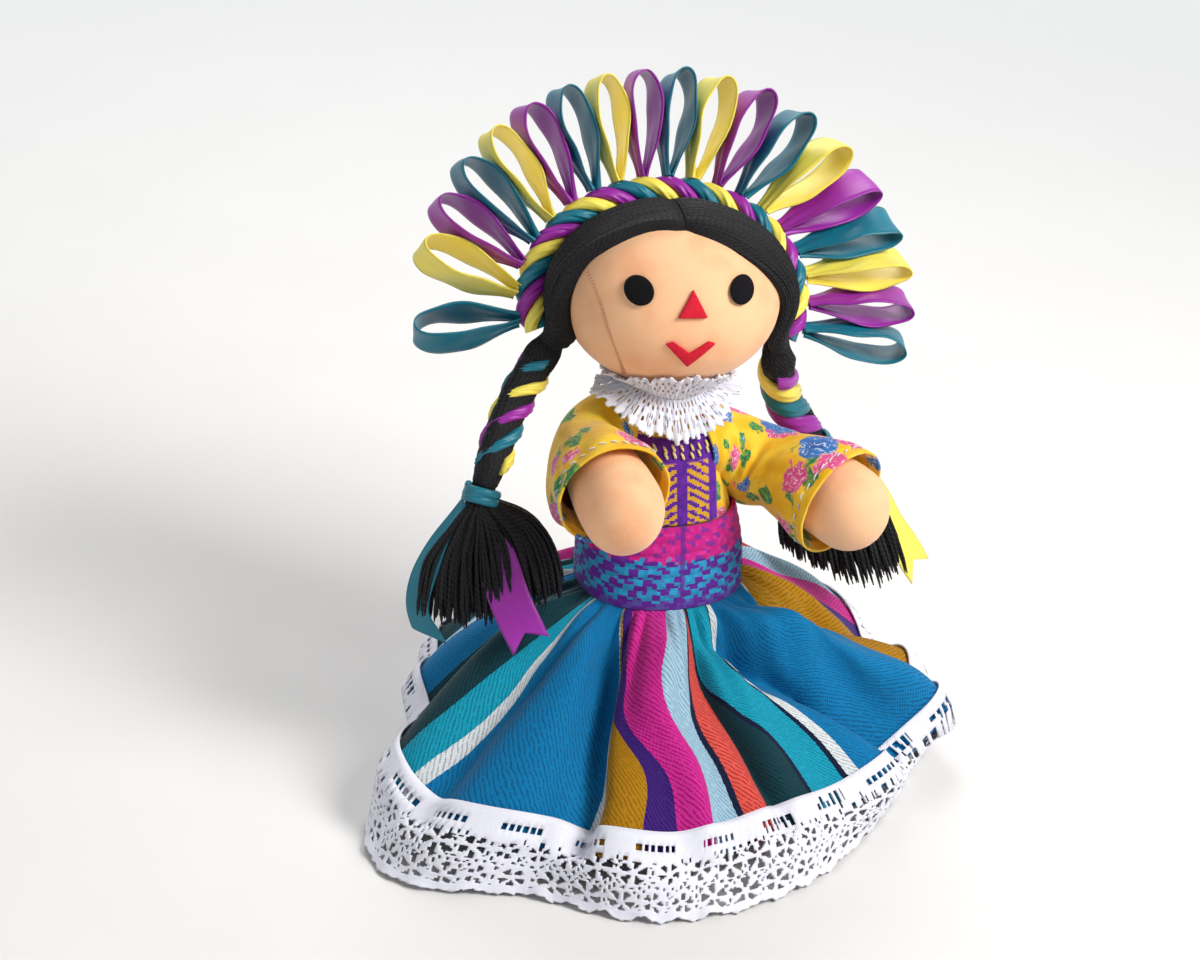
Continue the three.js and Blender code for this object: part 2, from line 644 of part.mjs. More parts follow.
// Three ribbons twisted round each other, lying on the hair from ear to ear
function makeRope() {
  const steps = 46;
  RIBBONS.forEach(([name, color], strand) => {
    const rings = [];
    for (let i = 0; i <= steps; i++) {
      const { point, along, outward } = bandAt(i / steps);
      const turn = 2 * Math.PI * (ROPE_TURNS * (i / steps) + strand / RIBBONS.length);
      const swing = outward.clone().multiplyScalar(Math.cos(turn)).addScaledVector(bandBack, Math.sin(turn));
      const centre = point.clone().addScaledVector(swing, STRAND_OFFSET);
      const cross = new THREE.Vector3().crossVectors(along, swing);
      rings.push(ringAt(centre, swing, cross, STRAND_RADIUS, STRAND_RADIUS * 1.1, 5));
    }
    addTo(headFrame, `headband_ribbon_${name}`, skinRings(rings), color, 0.4);
  });
}

// Flat ribbon along stations that each give a point, a width direction and a half width;
// its triangles' diagonals lie along a winding of the given hand
function ribbonBody(stations, hand = -1) {
  const corners = [[1, 1], [-1, 1], [-1, -1], [1, -1]];
  if (hand > 0) corners.reverse();
  const rings = stations.map((here, i) => {
    const before = stations[Math.max(i - 1, 0)].point;
    const after = stations[Math.min(i + 1, stations.length - 1)].point;
    const along = after.clone().sub(before).normalize();
    const through = new THREE.Vector3().crossVectors(along, here.across).normalize();
    const across = new THREE.Vector3().crossVectors(through, along).normalize();
    return corners.map(([a, b]) => here.point.clone()
      .addScaledVector(across, a * here.half)
      .addScaledVector(through, b * RIBBON_THICK / 2));
  });
  return skinRings(rings);
}

// Ribbon loops, standing out from the rope like rays
function makeLoops() {
  const steps = 12;
  const count = LOOPS.length;
  const margin = LOOP_MARGIN / bandLength;
  LOOPS.forEach(([direction, twist, opening], k) => {
    const { point, outward } = bandAt(lerp(margin, 1 - margin, k / (count - 1)));
    const foot = point.clone().addScaledVector(outward, ropeRadius + CLEAR);
    const fan = rad(direction);
    const ray = new THREE.Vector3().addScaledVector(X, Math.cos(fan)).addScaledVector(bandUp, Math.sin(fan));
    const flank = new THREE.Vector3().crossVectors(bandBack, ray);
    const open = flank.multiplyScalar(Math.cos(rad(twist))).addScaledVector(bandBack, Math.sin(rad(twist)));
    const across = new THREE.Vector3().crossVectors(ray, open);
    const stations = [];
    for (let i = 0; i <= steps; i++) {
      const a = (Math.PI * i) / steps;
      const out = LOOP_LENGTH * Math.sin(a) ** 2;
      const belly = 0.685 * opening * Math.sin(2 * a) * Math.sin(a) ** 1.2;
      const side = belly + RIBBON_THICK * 1.1 * Math.cos(a);
      const place = foot.clone().addScaledVector(ray, out + RIBBON_THICK).addScaledVector(open, side);
      const width = lerp(LOOP_FOOT, RIBBON_WIDTH, ease(out / LOOP_LENGTH, 0, 0.5));
      stations.push({ point: place, across, half: width / 2 });
    }
    const number = String(count - k).padStart(2, '0');
    const [, color] = RIBBONS[(count - 1 - k) % RIBBONS.length];
    addTo(headFrame, `ribbon_loop_${number}`, ribbonBody(stations), color, 0.4);
  });
}

// Plait that starts under an end of the headband, with its ribbons, tie and tassel
function makePlait(side, sign, { route, tassel, halfWidth, tails }) {
  const end = bandAt(sign > 0 ? 0 : 1);
  const away = end.along.clone().multiplyScalar(-sign);
  const anchor = end.point.clone().addScaledVector(away, 2 * CLEAR + RIBBON_THICK + PLAIT_RADIUS);
  anchor.addScaledVector(end.outward, PLAIT_OUT).applyMatrix4(headFrame.matrix);
  const from = (start, points) => points.map((p) => start.clone().add(new THREE.Vector3(...p)));
  const curve = new THREE.CatmullRomCurve3(from(anchor, route));
  const yarn = limbRings(curve, () => PLAIT_RADIUS, { steps: 8, count: 12 });
  addTo(doll, `plait_${side}`, skinRings(yarn), BLACK_YARN);

  const along = curve.getTangent(1);
  const tieTop = curve.getPoint(1).addScaledVector(along, PLAIT_RADIUS + CLEAR);
  const tieEnd = tieTop.clone().addScaledVector(along, TIE_HEIGHT + CLEAR);
  const u = new THREE.Vector3().crossVectors(Y, along).normalize();
  const v = new THREE.Vector3().crossVectors(along, u);
  const ringRound = (at, r) => ringAt(at, u, v, r, r, 12);
  const tieBore = TASSEL_NECK + CLEAR;
  const tie = [[0.1, TIE_RADIUS], [0.8, TIE_RADIUS], [0.8, tieBore], [0.1, tieBore]]
    .map(([t, r]) => ringRound(tieTop.clone().lerp(tieEnd, t), r));
  addTo(doll, `tie_${side}`, skinRings(tie, true), TEAL, 0.4);

  const flare = new THREE.CatmullRomCurve3([tieEnd, ...from(tieTop, tassel)]);
  const fan = [tieTop, tieEnd].map((at) => ringRound(at, TASSEL_NECK));
  for (let i = 1; i <= 5; i++) {
    const t = i / 5;
    const centre = flare.getPoint(t);
    const heading = flare.getTangent(t);
    const wide = new THREE.Vector3().crossVectors(Y, heading).normalize();
    const deep = new THREE.Vector3().crossVectors(heading, wide);
    const reach = Math.sin((Math.PI / 2) * t) ** 0.8;
    const [halfW, halfD] = [halfWidth, TASSEL_DEPTH].map((half) => lerp(TASSEL_NECK, half, reach));
    fan.push(ringAt(centre, wide, deep, halfW, halfD, 12));
  }
  addTo(doll, `tassel_${side}`, skinRings(fan), BLACK_YARN);

  const length = curve.getLength();
  const steps = 24;
  RIBBONS.forEach(([name, color], index) => {
    const stations = [];
    for (let i = 0; i <= steps; i++) {
      const t = lerp(PLAIT_BAND_FROM, 1, i / steps);
      const heading = curve.getTangent(t);
      const left = new THREE.Vector3().crossVectors(Y, heading).normalize();
      const front = new THREE.Vector3().crossVectors(heading, left);
      const turn = sign * 2 * Math.PI * ((t * length) / PLAIT_PITCH + index / RIBBONS.length);
      const swing = left.multiplyScalar(Math.cos(turn)).addScaledVector(front, Math.sin(turn));
      const point = curve.getPoint(t).addScaledVector(swing, PLAIT_RADIUS + CLEAR + RIBBON_THICK);
      stations.push({ point, across: heading, half: PLAIT_BAND / 2 });
    }
    addTo(doll, `plait_ribbon_${name}_${side}`, ribbonBody(stations, sign), color, 0.4);
    if (!tails[name]) return;
    const tail = new THREE.CatmullRomCurve3(from(tieTop, tails[name]));
    const hang = Array.from({ length: 7 }, (_, i) => {
      const t = i / 6;
      const facing = tail.getPoint(t).sub(flare.getPoint(Math.min(t, 1))).normalize();
      const across = new THREE.Vector3().crossVectors(tail.getTangent(t), facing).normalize();
      const width = lerp(TAIL_WIDTH * 0.5, TAIL_WIDTH, ease(t, 0, 0.5));
      return { point: tail.getPoint(t), across, half: width / 2 };
    });
    addTo(doll, `ribbon_tail_${name}_${side}`, ribbonBody(hang), color, 0.4);
  });
}

makeBody();
makeBlouse();
makeCollar();
makeSkirt();
makeHem();
makeArm('right', -1, ARMS.right);
makeArm('left', 1, ARMS.left);
makeLeg('right', -1);
makeLeg('left', 1);
makeHead();
makeHair();
makeFace();
makeRope();
makeLoops();
makePlait('right', -1, PLAITS.right);
makePlait('left', 1, PLAITS.left);

export default doll;
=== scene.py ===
"""A seated rag doll with yarn plaits, a crown of satin ribbon loops, a flowered blouse and a striped skirt.

Shapes are worked out in millimetres and turned into metres when a mesh is made. Surfaces are grids of points
from formulas, and their UVs, u and v, are millimetres across and along the cloth.
"""
import math

import bmesh
import bpy
import numpy as np
from mathutils import Matrix


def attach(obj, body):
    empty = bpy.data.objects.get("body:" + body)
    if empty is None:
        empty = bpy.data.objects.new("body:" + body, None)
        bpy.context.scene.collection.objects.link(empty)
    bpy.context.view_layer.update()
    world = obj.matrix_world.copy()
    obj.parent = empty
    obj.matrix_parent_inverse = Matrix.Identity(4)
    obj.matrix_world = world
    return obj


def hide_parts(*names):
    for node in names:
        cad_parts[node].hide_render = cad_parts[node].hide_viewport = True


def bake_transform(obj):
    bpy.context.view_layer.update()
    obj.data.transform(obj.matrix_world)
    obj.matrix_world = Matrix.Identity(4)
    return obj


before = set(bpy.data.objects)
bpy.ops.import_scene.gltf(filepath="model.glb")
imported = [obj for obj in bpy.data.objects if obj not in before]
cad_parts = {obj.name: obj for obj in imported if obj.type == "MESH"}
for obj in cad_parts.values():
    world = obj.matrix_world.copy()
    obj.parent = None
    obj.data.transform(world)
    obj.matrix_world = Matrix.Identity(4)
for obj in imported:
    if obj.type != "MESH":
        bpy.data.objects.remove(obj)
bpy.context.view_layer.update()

MM = 0.001
TAU = 2 * math.pi
rng = np.random.default_rng(7)

# Sizes of the doll, as in its frame, in millimetres and degrees
CLEAR = 0.3
BODY_Z = [0, 8, 24, 40, 56, 70, 80, 90]
BODY_W = [17.5, 20, 19.5, 17.6, 16.8, 13.8, 11, 7.8]
BODY_D = [14.5, 16, 16.5, 15, 14.3, 12.5, 10.8, 7.8]
BODY_SQUARENESS = 2.3
BODY_ROUND = 110
NECK_RADIUS, NECK_IN_HEAD = 7, 3.3
HEAD_HALF = np.array([25.6, 21.5, 20.8])
HEAD_CENTRE = np.array([-1, 6, 117.0])
HEAD_LEAN, HEAD_TILT, HEAD_TURN = -8, 2, -7
HAIR_OUT = np.array([4.3, 3.3, 2.1])
EYE_SIDEWAYS, EYE_HEIGHT, EYE_HALF = 36.5, 6.9, (3.6, 3.2)
BAND_LEAN, BAND_BACK, BAND_FROM, BAND_TO, BAND_SEAT = 20, 8, -22, 196, 0.6
ROPE_RADIUS, ROPE_TURNS = 2.8, 6.6
LOOP_LENGTH, LOOP_FOOT, LOOP_MARGIN, RIBBON_WIDTH = 25, 4.6, 3, 10
# Each loop's direction in the plane of the band, its twist and its opening, from the doll's left to the right
LOOPS = [
    (-10, 28, 6), (-2, 30, 5.6), (6, 34, 5.2), (14, 40, 5), (25, 40, 5.4), (38, 26, 6.6), (51, 16, 6.8),
    (63, 12, 6.8), (73, 10, 6.6), (82, 8, 6.4), (90, 7, 6.4), (98, 8, 6.4), (107, 9, 6.6), (116, 10, 6.8),
    (125, 11, 6.8), (134, 13, 6.8), (144, 15, 6.8), (155, 18, 6.8), (186, 24, 7),
]
SASH_BOTTOM, SASH_TOP, BLOUSE_TOP, PANEL_TOP, PANEL_HALF = 45, 66, 90.5, 87, 9.3
# Collar, by azimuth: height of its upper and lower edge, and the lower edge's distance out
COLLAR_AZIMUTH = [0, 30, 60, 90, 120, 150, 180, 210, 240, 270, 300, 330, 360]
COLLAR_TOP = [99.0, 98.2, 98.4, 98.7, 98.7, 99.0, 100.2, 102.2, 104.2, 104.8, 103.4, 100.8, 99.0]
COLLAR_LOW = [95.9, 95.2, 92.5, 91.0, 92.5, 95.2, 96.2, 94.0, 89.8, 88.0, 89.4, 93.6, 95.9]
COLLAR_LOW_R = [17.5, 16.5, 14.5, 13.5, 14.5, 16.5, 18.5, 18.0, 16.0, 15.0, 15.4, 16.6, 17.5]
COLLAR_TOP_R, COLLAR_FULL = 15.9, 190
# Skirt, by azimuth: how far out the cloth's and the lace's edges lie; and its fall from the sash, by share
HEM_AZIMUTH = [-178, -162, -149, -130, -108, -82, -58, -35, -12, 15, 60, 110, 150]
HEM_CLOTH = [61, 76, 80, 71, 71, 63, 63, 65, 69, 66, 63, 61, 56]
HEM_LACE = [61, 84, 92, 79, 81, 74, 66, 64, 67, 65, 66, 65, 59]
SKIRT_EDGE_Z = 9
FALL_OUT = [0, 0.2, 0.45, 0.7, 0.88, 1]
FALL_LEFT = [1, 0.86, 0.62, 0.36, 0.15, 0]
CLOTH_ROUND = 430
# Arms: the sleeve bends on a radius, sinks near the shoulder and hangs below; print_at shifts its pattern
ARM_RADIUS, HAND_RADIUS, ARM_FROM, HAND_SINK, SHOULDER_OUT = 7.4, 10.8, 0.54, 2.2, 2.85
ARMS = {
    "right": {
        "sign": -1, "height": 84, "reach": (-1, -34, 0.8), "rise": 1.0, "cuff_at": 0.85, "bend": 12.5,
        "start": 9.6, "sink": 2.6, "hang": 13.0, "print_at": (7, 30),
    },
    "left": {
        "sign": 1, "height": 80, "reach": (15.6, -26.5, -5.0), "rise": -2.5, "cuff_at": 0.93, "bend": 16.0,
        "start": 8.8, "sink": 4.0, "hang": 6.0, "print_at": (38, 11),
    },
}
LEG_X, LEG_RADIUS, ANKLE_RADIUS, LEG_LENGTH = 9.5, 6.6, 5.2, 28
# Plaits: the route down from the rope's end; how the ribbons wind, where each starts, and their place on the
# yarn; the tassel's axis from the tie, half width and slanting cut; and the ribbons' tails from the tie
PLAIT_RADIUS, PLAIT_PITCH, TIE_HEIGHT = 4.7, 21, 3.6
TASSEL_NECK, TASSEL_DEPTH, TAIL_WIDTH = 3.2, 6, 9
PLAITS = {
    "right": {
        "sign": -1, "route": [(0, 0, 0), (-6.5, -4, -6.5), (-12, -8.5, -14), (-15.5, -12, -22)],
        "hand": 1, "starts": (0.62, 0.28, 0.95), "first": 0.085, "half_band": 2.3, "sunk": 1.1,
        "outer": math.pi,
        "tassel": [(1, -2, -14), (2.5, -5, -33)], "half": 19.3, "slant": 0.0,
        "tails": {
            "teal": [(-4.5, -1, -3), (-11.5, -2, -14), (-16, -4, -28), (-12, -6, -38)],
            "purple": [(1, -2.5, -4), (2, -5, -14), (5, -10, -26), (9, -15, -35.5)],
        },
    },
    "left": {
        "sign": 1, "route": [(0, 0, 0), (3.4, 5.8, -7.5), (7.6, 9.9, -16.5), (13.4, 11, -25)],
        "hand": -1, "starts": (0.3, 0.64, 0.97), "first": 0.125, "half_band": 3.9, "sunk": 0.9,
        "outer": -0.6,
        "tassel": [(4.6, -1.8, -16), (14, -6, -48)], "half": 16.8, "slant": 0.3,
        "tails": {
            "yellow": [(5, 2.2, -2), (14.6, 6.0, -12), (25, 4.5, -27), (34.5, 1.5, -42)],
            "teal": [(-0.6, 5, -3.2), (2.5, 8, -13), (7, 8, -25), (12, 7, -37)],
        },
    },
}
RIBBON_NAMES = ["teal", "yellow", "purple"]
# Thickness of each cloth, and radius of each yarn and thread
BLOUSE_WALL, PANEL_WALL, SASH_WALL, SKIRT_WALL, SLEEVE_WALL, SATIN_WALL = 0.7, 0.7, 1.0, 0.8, 0.6, 0.35
COLLAR_WALL, HEM_WALL = 0.4, 0.45
HAIR_YARN, PLAIT_YARN, ROOT_YARN, TASSEL_YARN = 0.3, 0.46, 0.42, (0.4, 0.52)
PANEL_STITCH, CUFF_STITCH, CHEEK_STITCH = 0.34, 0.2, 0.11
# Hair in the head's frame: its edge round the face, the guide lines behind it, and the ring at the plait
HAIR_EDGES = {
    -1: [(0.1, -10.4, 18.8), (7.0, -8.6, 18.6), (15.0, -8.0, 15.6), (21.6, -6.2, 10.2), (25.2, -5.4, 1.4),
         (24.9, -4.6, -4.4), (23.4, -3.0, -10.4), (27.2, 1.2, -15.6)],
    1: [(0.1, -10.4, 18.8), (7.0, -11.8, 17.0), (14.3, -12.6, 12.6), (20.6, -11.0, 7.0), (25.0, -7.6, 1.0),
        (25.0, -5.4, -4.4), (23.6, -3.4, -10.4), (26.4, 0.6, -17.0)],
}
HAIR_GUIDES = np.array([
    [(0.2, -6.0, 21.6), (11, -6.0, 19.4), (20.5, -5.0, 13.2), (26.4, -2.8, 4.0), (28.0, -0.5, -5.0),
     (27.2, 1.4, -13.6)],
    [(0.2, 6.0, 22.0), (11, 6.5, 19.6), (20.8, 7.0, 13.0), (27.0, 6.6, 4.0), (28.4, 4.6, -5.0),
     (27.4, 2.8, -14.0)],
    [(0.2, 20.0, 12.5), (9, 19.6, 10.4), (17.4, 17.0, 6.6), (23.6, 13.0, 0.4), (26.0, 8.5, -7.0),
     (27.0, 4.6, -15.0)],
    [(0.2, 22.0, -9.5), (8, 21.6, -10.6), (15, 18.6, -11.6), (20.4, 14.4, -12.6), (24.0, 10.0, -14.0),
     (26.8, 5.6, -16.4)],
], float)
HAIR_ENDS = {-1: (27.9, 3.4, -12.8), 1: (26.6, 1.2, -14.2)}

# Colours as they look in daylight
FLESH, FLESH_WARM, STITCH = "f9c497", "ee9f72", "dc8f68"
BLACK_YARN, BLACK_FELT, RED_FELT = "0e0e10", "121013", "dc2038"
TEAL, YELLOW, PURPLE = "14748a", "fdea62", "9c28a4"
MARIGOLD, PETAL_PINK, PETAL_BLUE, LEAF = "f0b610", "df4f8f", "2f6fbe", "2a7a4a"
PANEL_PURPLE, PANEL_GOLD = "6f28ac", "dca82c"
BELT_MAGENTA, BELT_BLUE, BELT_PURPLE = "d3208c", "2c93c6", "64259a"
SKIRT_BLUE, TURQUOISE, DARK_GREEN, MUSTARD = "037bb6", "12a0be", "0e3c46", "b98412"
DARK_PURPLE, MAGENTA, LIGHT_BLUE, CORAL, WHITE_THREAD = "40207a", "d42c96", "a5cbe2", "e25a52", "e6edf2"
INK, LACE_WHITE, SILVER = "101b3a", "e9eaf3", "dfe2e2"

# Stripes round the skirt from the doll's right over the front: colour, and where each one starts, in degrees,
# at shares of the way from the waist to the hem. Those at the back run straight down.
STRIPE_ROWS = [0.05, 0.2, 0.35, 0.5, 0.7, 0.92]
FRONT_STRIPES = [
    (DARK_GREEN, [-175, -175, -175, -176, -176, -176]),
    (TURQUOISE, [-160, -160.5, -161, -161.5, -162, -163.5]),
    (WHITE_THREAD, [-157, -157, -157, -155.5, -156, -158]),
    (SKIRT_BLUE, [-154.6, -154.6, -154.6, -153, -153.4, -155.2]),
    (WHITE_THREAD, [-133, -128, -124, -123, -124, -124]),
    (MUSTARD, [-132.6, -127.7, -123.8, -122.2, -121.8, -122.2]),
    (DARK_PURPLE, [-132.2, -127.4, -123.5, -122, -112, -112]),
    (MAGENTA, [-130, -125, -121, -119, -108, -105]),
    (INK, [-104, -108, -111, -109, -100, -98.6]),
    (LIGHT_BLUE, [-103, -107, -110, -108, -99, -97.6]),
    (INK, [-89.4, -92.4, -96.4, -98.4, -93.4, -91]),
    (CORAL, [-88.6, -92, -96, -98, -93, -90]),
    (DARK_GREEN, [-88, -89, -90, -87, -84, -84]),
    (INK, [-87.4, -88.8, -89.4, -83.6, -75, -71.4]),
    (TURQUOISE, [-87, -88.5, -89, -83, -74, -70]),
    (INK, [-69.4, -74.6, -76.8, -67.4, -61.4, -59.4]),
    (WHITE_THREAD, [-69, -74, -76, -66, -60, -58]),
    (SKIRT_BLUE, [-66, -71.6, -74.4, -64.4, -58.4, -56.4]),
    (WHITE_THREAD, [-25, -30, -25, -18, -12, -8]),
    (MUSTARD, [-23, -28, -23, -16, -10, -6.2]),
    (DARK_PURPLE, [2, 2, 4, 6, 8, 9]),
    (MAGENTA, [8, 9, 11, 13, 14, 15]),
    (LIGHT_BLUE, [14, 15, 16, 18, 20, 21]),
    (CORAL, [24, 25, 26, 27, 28, 29]),
]
BACK_STRIPES = [
    (DARK_GREEN, 36), (INK, 47), (TURQUOISE, 48), (WHITE_THREAD, 59), (SKIRT_BLUE, 61), (WHITE_THREAD, 91),
    (MUSTARD, 93), (DARK_PURPLE, 103), (MAGENTA, 110), (INK, 118), (LIGHT_BLUE, 119), (INK, 127),
    (CORAL, 128), (DARK_GREEN, 136), (TURQUOISE, 149), (WHITE_THREAD, 161), (SKIRT_BLUE, 163),
    (DARK_GREEN, 173),
]
STRIPES = FRONT_STRIPES + [(code, [start] * len(STRIPE_ROWS)) for code, start in BACK_STRIPES]
STRIPE_EDGES = np.array([edges for _, edges in STRIPES], float)
STRIPE_MARKS = [((edges[-1] - STRIPE_EDGES[0, -1]) / 360 * CLOTH_ROUND, code) for code, edges in STRIPES]

# Folds that stand out on their own: shares of the way down, degrees there, width in millimetres, and height
TO_HALF, TO_EDGE, TO_HEM = [0, 0.2, 0.4, 0.6, 0.9], [0, 0.2, 0.4, 0.7, 1], [0, 0.3, 0.6, 1, 1.2]
FOLDS_SEEN = [
    ([0, 0.2, 0.4, 0.6, 0.8], [-136, -131.5, -128, -126, -123], 3.4, -8.5),
    (TO_EDGE, [-146, -141, -138, -136, -136], 6, 2.6),
    (TO_EDGE, [-60, -51, -38, -28, -22], 6, 7.6),
    (TO_HALF, [-78, -71, -61, -50, -40], 4.2, -7.5),
    (TO_HALF, [-38, -28, -12, -2, 6], 5.5, -6.0),
    ([0, 0.25, 0.45, 0.7, 1], [-103, -106, -109, -102, -98], 4.6, 4.6),
    (TO_HALF, [-87, -89, -90, -85, -80], 3.2, -5.0),
    (TO_HEM, [-154, -153, -152, -150, -150], 5, -3.6),
    (TO_HEM, [-171, -168, -164, -160, -160], 7, 4.0),
    (TO_HEM, [36, 33, 30, 30, 30], 6, 3.5),
    (TO_HEM, [62, 66, 64, 62, 62], 6, -3.5),
    (TO_HEM, [95, 92, 90, 88, 88], 7, 3.5),
    (TO_HEM, [128, 132, 130, 128, 128], 6, -3.5),
    (TO_HEM, [160, 157, 160, 162, 162], 7, 3.0),
]


# Curves and frames
def unit(v):
    """Vectors at length 1."""
    return v / np.linalg.norm(v, axis=-1, keepdims=True)


def ease(x, a=0.0, b=1.0):
    """Smooth rise from 0 to 1 as x goes from a to b."""
    t = np.clip((x - a) / (b - a), 0, 1)
    return t * t * (3 - 2 * t)


def bump(x, centre, width):
    """Round bump of height 1."""
    return np.exp(-((x - centre) / width) ** 2)


def mix(a, b, t):
    """Straight line from a at t = 0 to b at t = 1."""
    return a + (b - a) * t


def turns(count):
    """Even steps round a circle."""
    return np.arange(count) / count * TAU


def spokes(angle, a, b):
    """Directions at angles in the plane of two directions: a cos + b sin."""
    return np.cos(angle)[..., None] * a + np.sin(angle)[..., None] * b


def sample(at, t, values):
    """Numbers or points given along t, read at other places."""
    if values.ndim == 1:
        return np.interp(at, t, values)
    return np.stack([np.interp(at, t, column) for column in values.T], -1)


def through(x, xs, ys):
    """Smooth curve through stations: cubic pieces whose slopes are those of the neighbours' chords."""
    xs, ys = np.asarray(xs, float), np.asarray(ys, float)
    k = np.arange(len(xs))
    low, high = np.maximum(k - 1, 0), np.minimum(k + 1, len(xs) - 1)
    run = (xs[high] - xs[low]).reshape(-1, *([1] * (ys.ndim - 1)))
    slope = (ys[high] - ys[low]) / run
    i = np.clip(np.searchsorted(xs, x) - 1, 0, len(xs) - 2)
    span, rise = xs[i + 1] - xs[i], ys[i + 1] - ys[i]
    t = np.clip((x - xs[i]) / span, 0, 1)
    if ys.ndim > 1:
        span, t = span[..., None], t[..., None]
    m0, m1 = slope[i] * span, slope[i + 1] * span
    return ys[i] + t * (m0 + t * (3 * rise - 2 * m0 - m1 + t * (m0 + m1 - 2 * rise)))


def spline(points, t):
    """Centripetal Catmull-Rom curve through points, at t from 0 to 1, with its ends run on straight."""
    p = np.asarray(points, float)
    p = np.vstack([2 * p[0] - p[1], p, 2 * p[-1] - p[-2]])
    pieces = len(p) - 3
    at = np.clip(np.asarray(t, float) * pieces, 0, pieces)
    i = np.minimum(at.astype(int), pieces - 1)
    w = (at - i)[:, None]
    a, b, c, d = p[i], p[i + 1], p[i + 2], p[i + 3]
    d0, d1, d2 = (np.sqrt(np.linalg.norm(q, axis=1, keepdims=True)) for q in (b - a, c - b, d - c))
    m0 = d1 * ((b - a) / d0 - (c - a) / (d0 + d1) + (c - b) / d1)
    m1 = d1 * ((c - b) / d1 - (d - b) / (d1 + d2) + (d - c) / d2)
    return b + w * (m0 + w * (3 * (c - b) - 2 * m0 - m1 + w * (m0 + m1 - 2 * (c - b))))


def along(path):
    """Unit tangents of a path of points."""
    return unit(np.gradient(path, axis=0))


def lengths(path):
    """Distance along a path at each of its points."""
    return np.concatenate([[0], np.cumsum(np.linalg.norm(np.diff(path, axis=0), axis=1))])


def turn(axis, degrees):
    """Matrix of a turn about X, Y or Z."""
    c, s = math.cos(math.radians(degrees)), math.sin(math.radians(degrees))
    i, j = [(1, 2), (2, 0), (0, 1)]["XYZ".index(axis)]
    m = np.eye(3)
    m[i, i] = m[j, j] = c
    m[i, j], m[j, i] = -s, s
    return m


HEAD_TURNED = turn("X", HEAD_LEAN) @ turn("Y", HEAD_TILT) @ turn("Z", HEAD_TURN)
HEAD_AXIS = HEAD_TURNED @ np.array([0, 0, 1.0])
NECK = HEAD_CENTRE - HEAD_AXIS * HEAD_HALF[2]


def in_head(points):
    """Points of the head's own frame, placed on the doll."""
    return points @ HEAD_TURNED.T + HEAD_CENTRE


def body_centre(z):
    """Middle of the body at a height: the line from the seat to the neck."""
    return NECK * (np.asarray(z, float) / NECK[2])[..., None]


def body_half(z, out):
    """Half width and half depth of the body, or of a layer out from it, at a height."""
    return through(z, BODY_Z, BODY_W) + out, through(z, BODY_Z, BODY_D) + out


def body_edge(z, angle, out):
    """Point on the body's section, a superellipse, in a direction seen from its middle."""
    w, d = body_half(z, out)
    c, s = np.cos(angle), np.sin(angle)
    r = ((np.abs(c) / w) ** BODY_SQUARENESS + (np.abs(s) / d) ** BODY_SQUARENESS) ** (-1 / BODY_SQUARENESS)
    return body_centre(np.broadcast_to(z, np.shape(r))) + np.stack([r * c, r * s, 0 * r], -1)


def front_depth(x, z, out):
    """How far the body's front, or a layer out from it, lies before its middle at a place to the side."""
    w, d = body_half(z, out)
    return d * (1 - (np.abs(x) / w) ** BODY_SQUARENESS) ** (1 / BODY_SQUARENESS)


def body_front(x, z, out):
    """Point on that front, over a place to the side and at a height."""
    x, z, y = np.broadcast_arrays(x, z, -front_depth(x, z, out))
    return body_centre(z) + np.stack([x, y, 0 * y], -1)


def on_face(x, z, half):
    """Point on the front of an ellipsoid of the given half sizes, over a place in the head's X and Z."""
    level = 1 - (x / half[..., 0]) ** 2 - (z / half[..., 2]) ** 2
    return in_head(np.stack([x, -half[..., 1] * np.sqrt(np.maximum(level, 0.004)), z], -1))


# Meshes
def make(name, verts, faces, uvs):
    """Mesh object from vertices in millimetres, faces of one size and UVs per face corner."""
    mesh = bpy.data.meshes.new(name)
    verts, faces = np.asarray(verts, float).reshape(-1, 3), np.asarray(faces, int)
    size = faces.shape[1]
    mesh.vertices.add(len(verts))
    mesh.vertices.foreach_set("co", (verts * MM).astype(np.float32).ravel())
    mesh.loops.add(faces.size)
    mesh.loops.foreach_set("vertex_index", faces.astype(np.int32).ravel())
    mesh.polygons.add(len(faces))
    mesh.polygons.foreach_set("loop_start", np.arange(0, faces.size, size, dtype=np.int32))
    mesh.polygons.foreach_set("use_smooth", np.full(len(faces), True))
    layer = mesh.uv_layers.new(name="cloth")
    layer.data.foreach_set("uv", np.asarray(uvs, np.float32).ravel())
    mesh.update(calc_edges=True)
    mesh.validate()
    return link(name, mesh)


def link(name, data):
    """New object of the scene."""
    thing = bpy.data.objects.new(name, data)
    bpy.context.scene.collection.objects.link(thing)
    return thing


def grid_faces(rows, columns, wrap_columns=False):
    """Corner indices of the quads of a grid, and the row and column of each corner before wrapping."""
    i, j = np.indices((rows - 1, columns - (not wrap_columns))).reshape(2, -1)
    ii = np.stack([i, i, i + 1, i + 1], 1)
    jj = np.stack([j, j + 1, j + 1, j], 1)
    return ii * columns + jj % columns, ii, jj


def surface(name, points, uv, wrap_columns=False, keep=None, flip=False):
    """Piece from a grid of points; uv has one more column where the grid closes on itself."""
    faces, ii, jj = grid_faces(*points.shape[:2], wrap_columns)
    corners = uv[ii, jj]
    if keep is not None:
        faces, corners = faces[keep.ravel()], corners[keep.ravel()]
    if flip:
        faces, corners = faces[:, ::-1], corners[:, ::-1]
    return make(name, points, faces, corners)


def cloth_uv(us, vs):
    """Grid of UVs from the columns' and the rows' millimetres."""
    return np.stack(np.meshgrid(vs, us, indexing="ij")[::-1], -1)


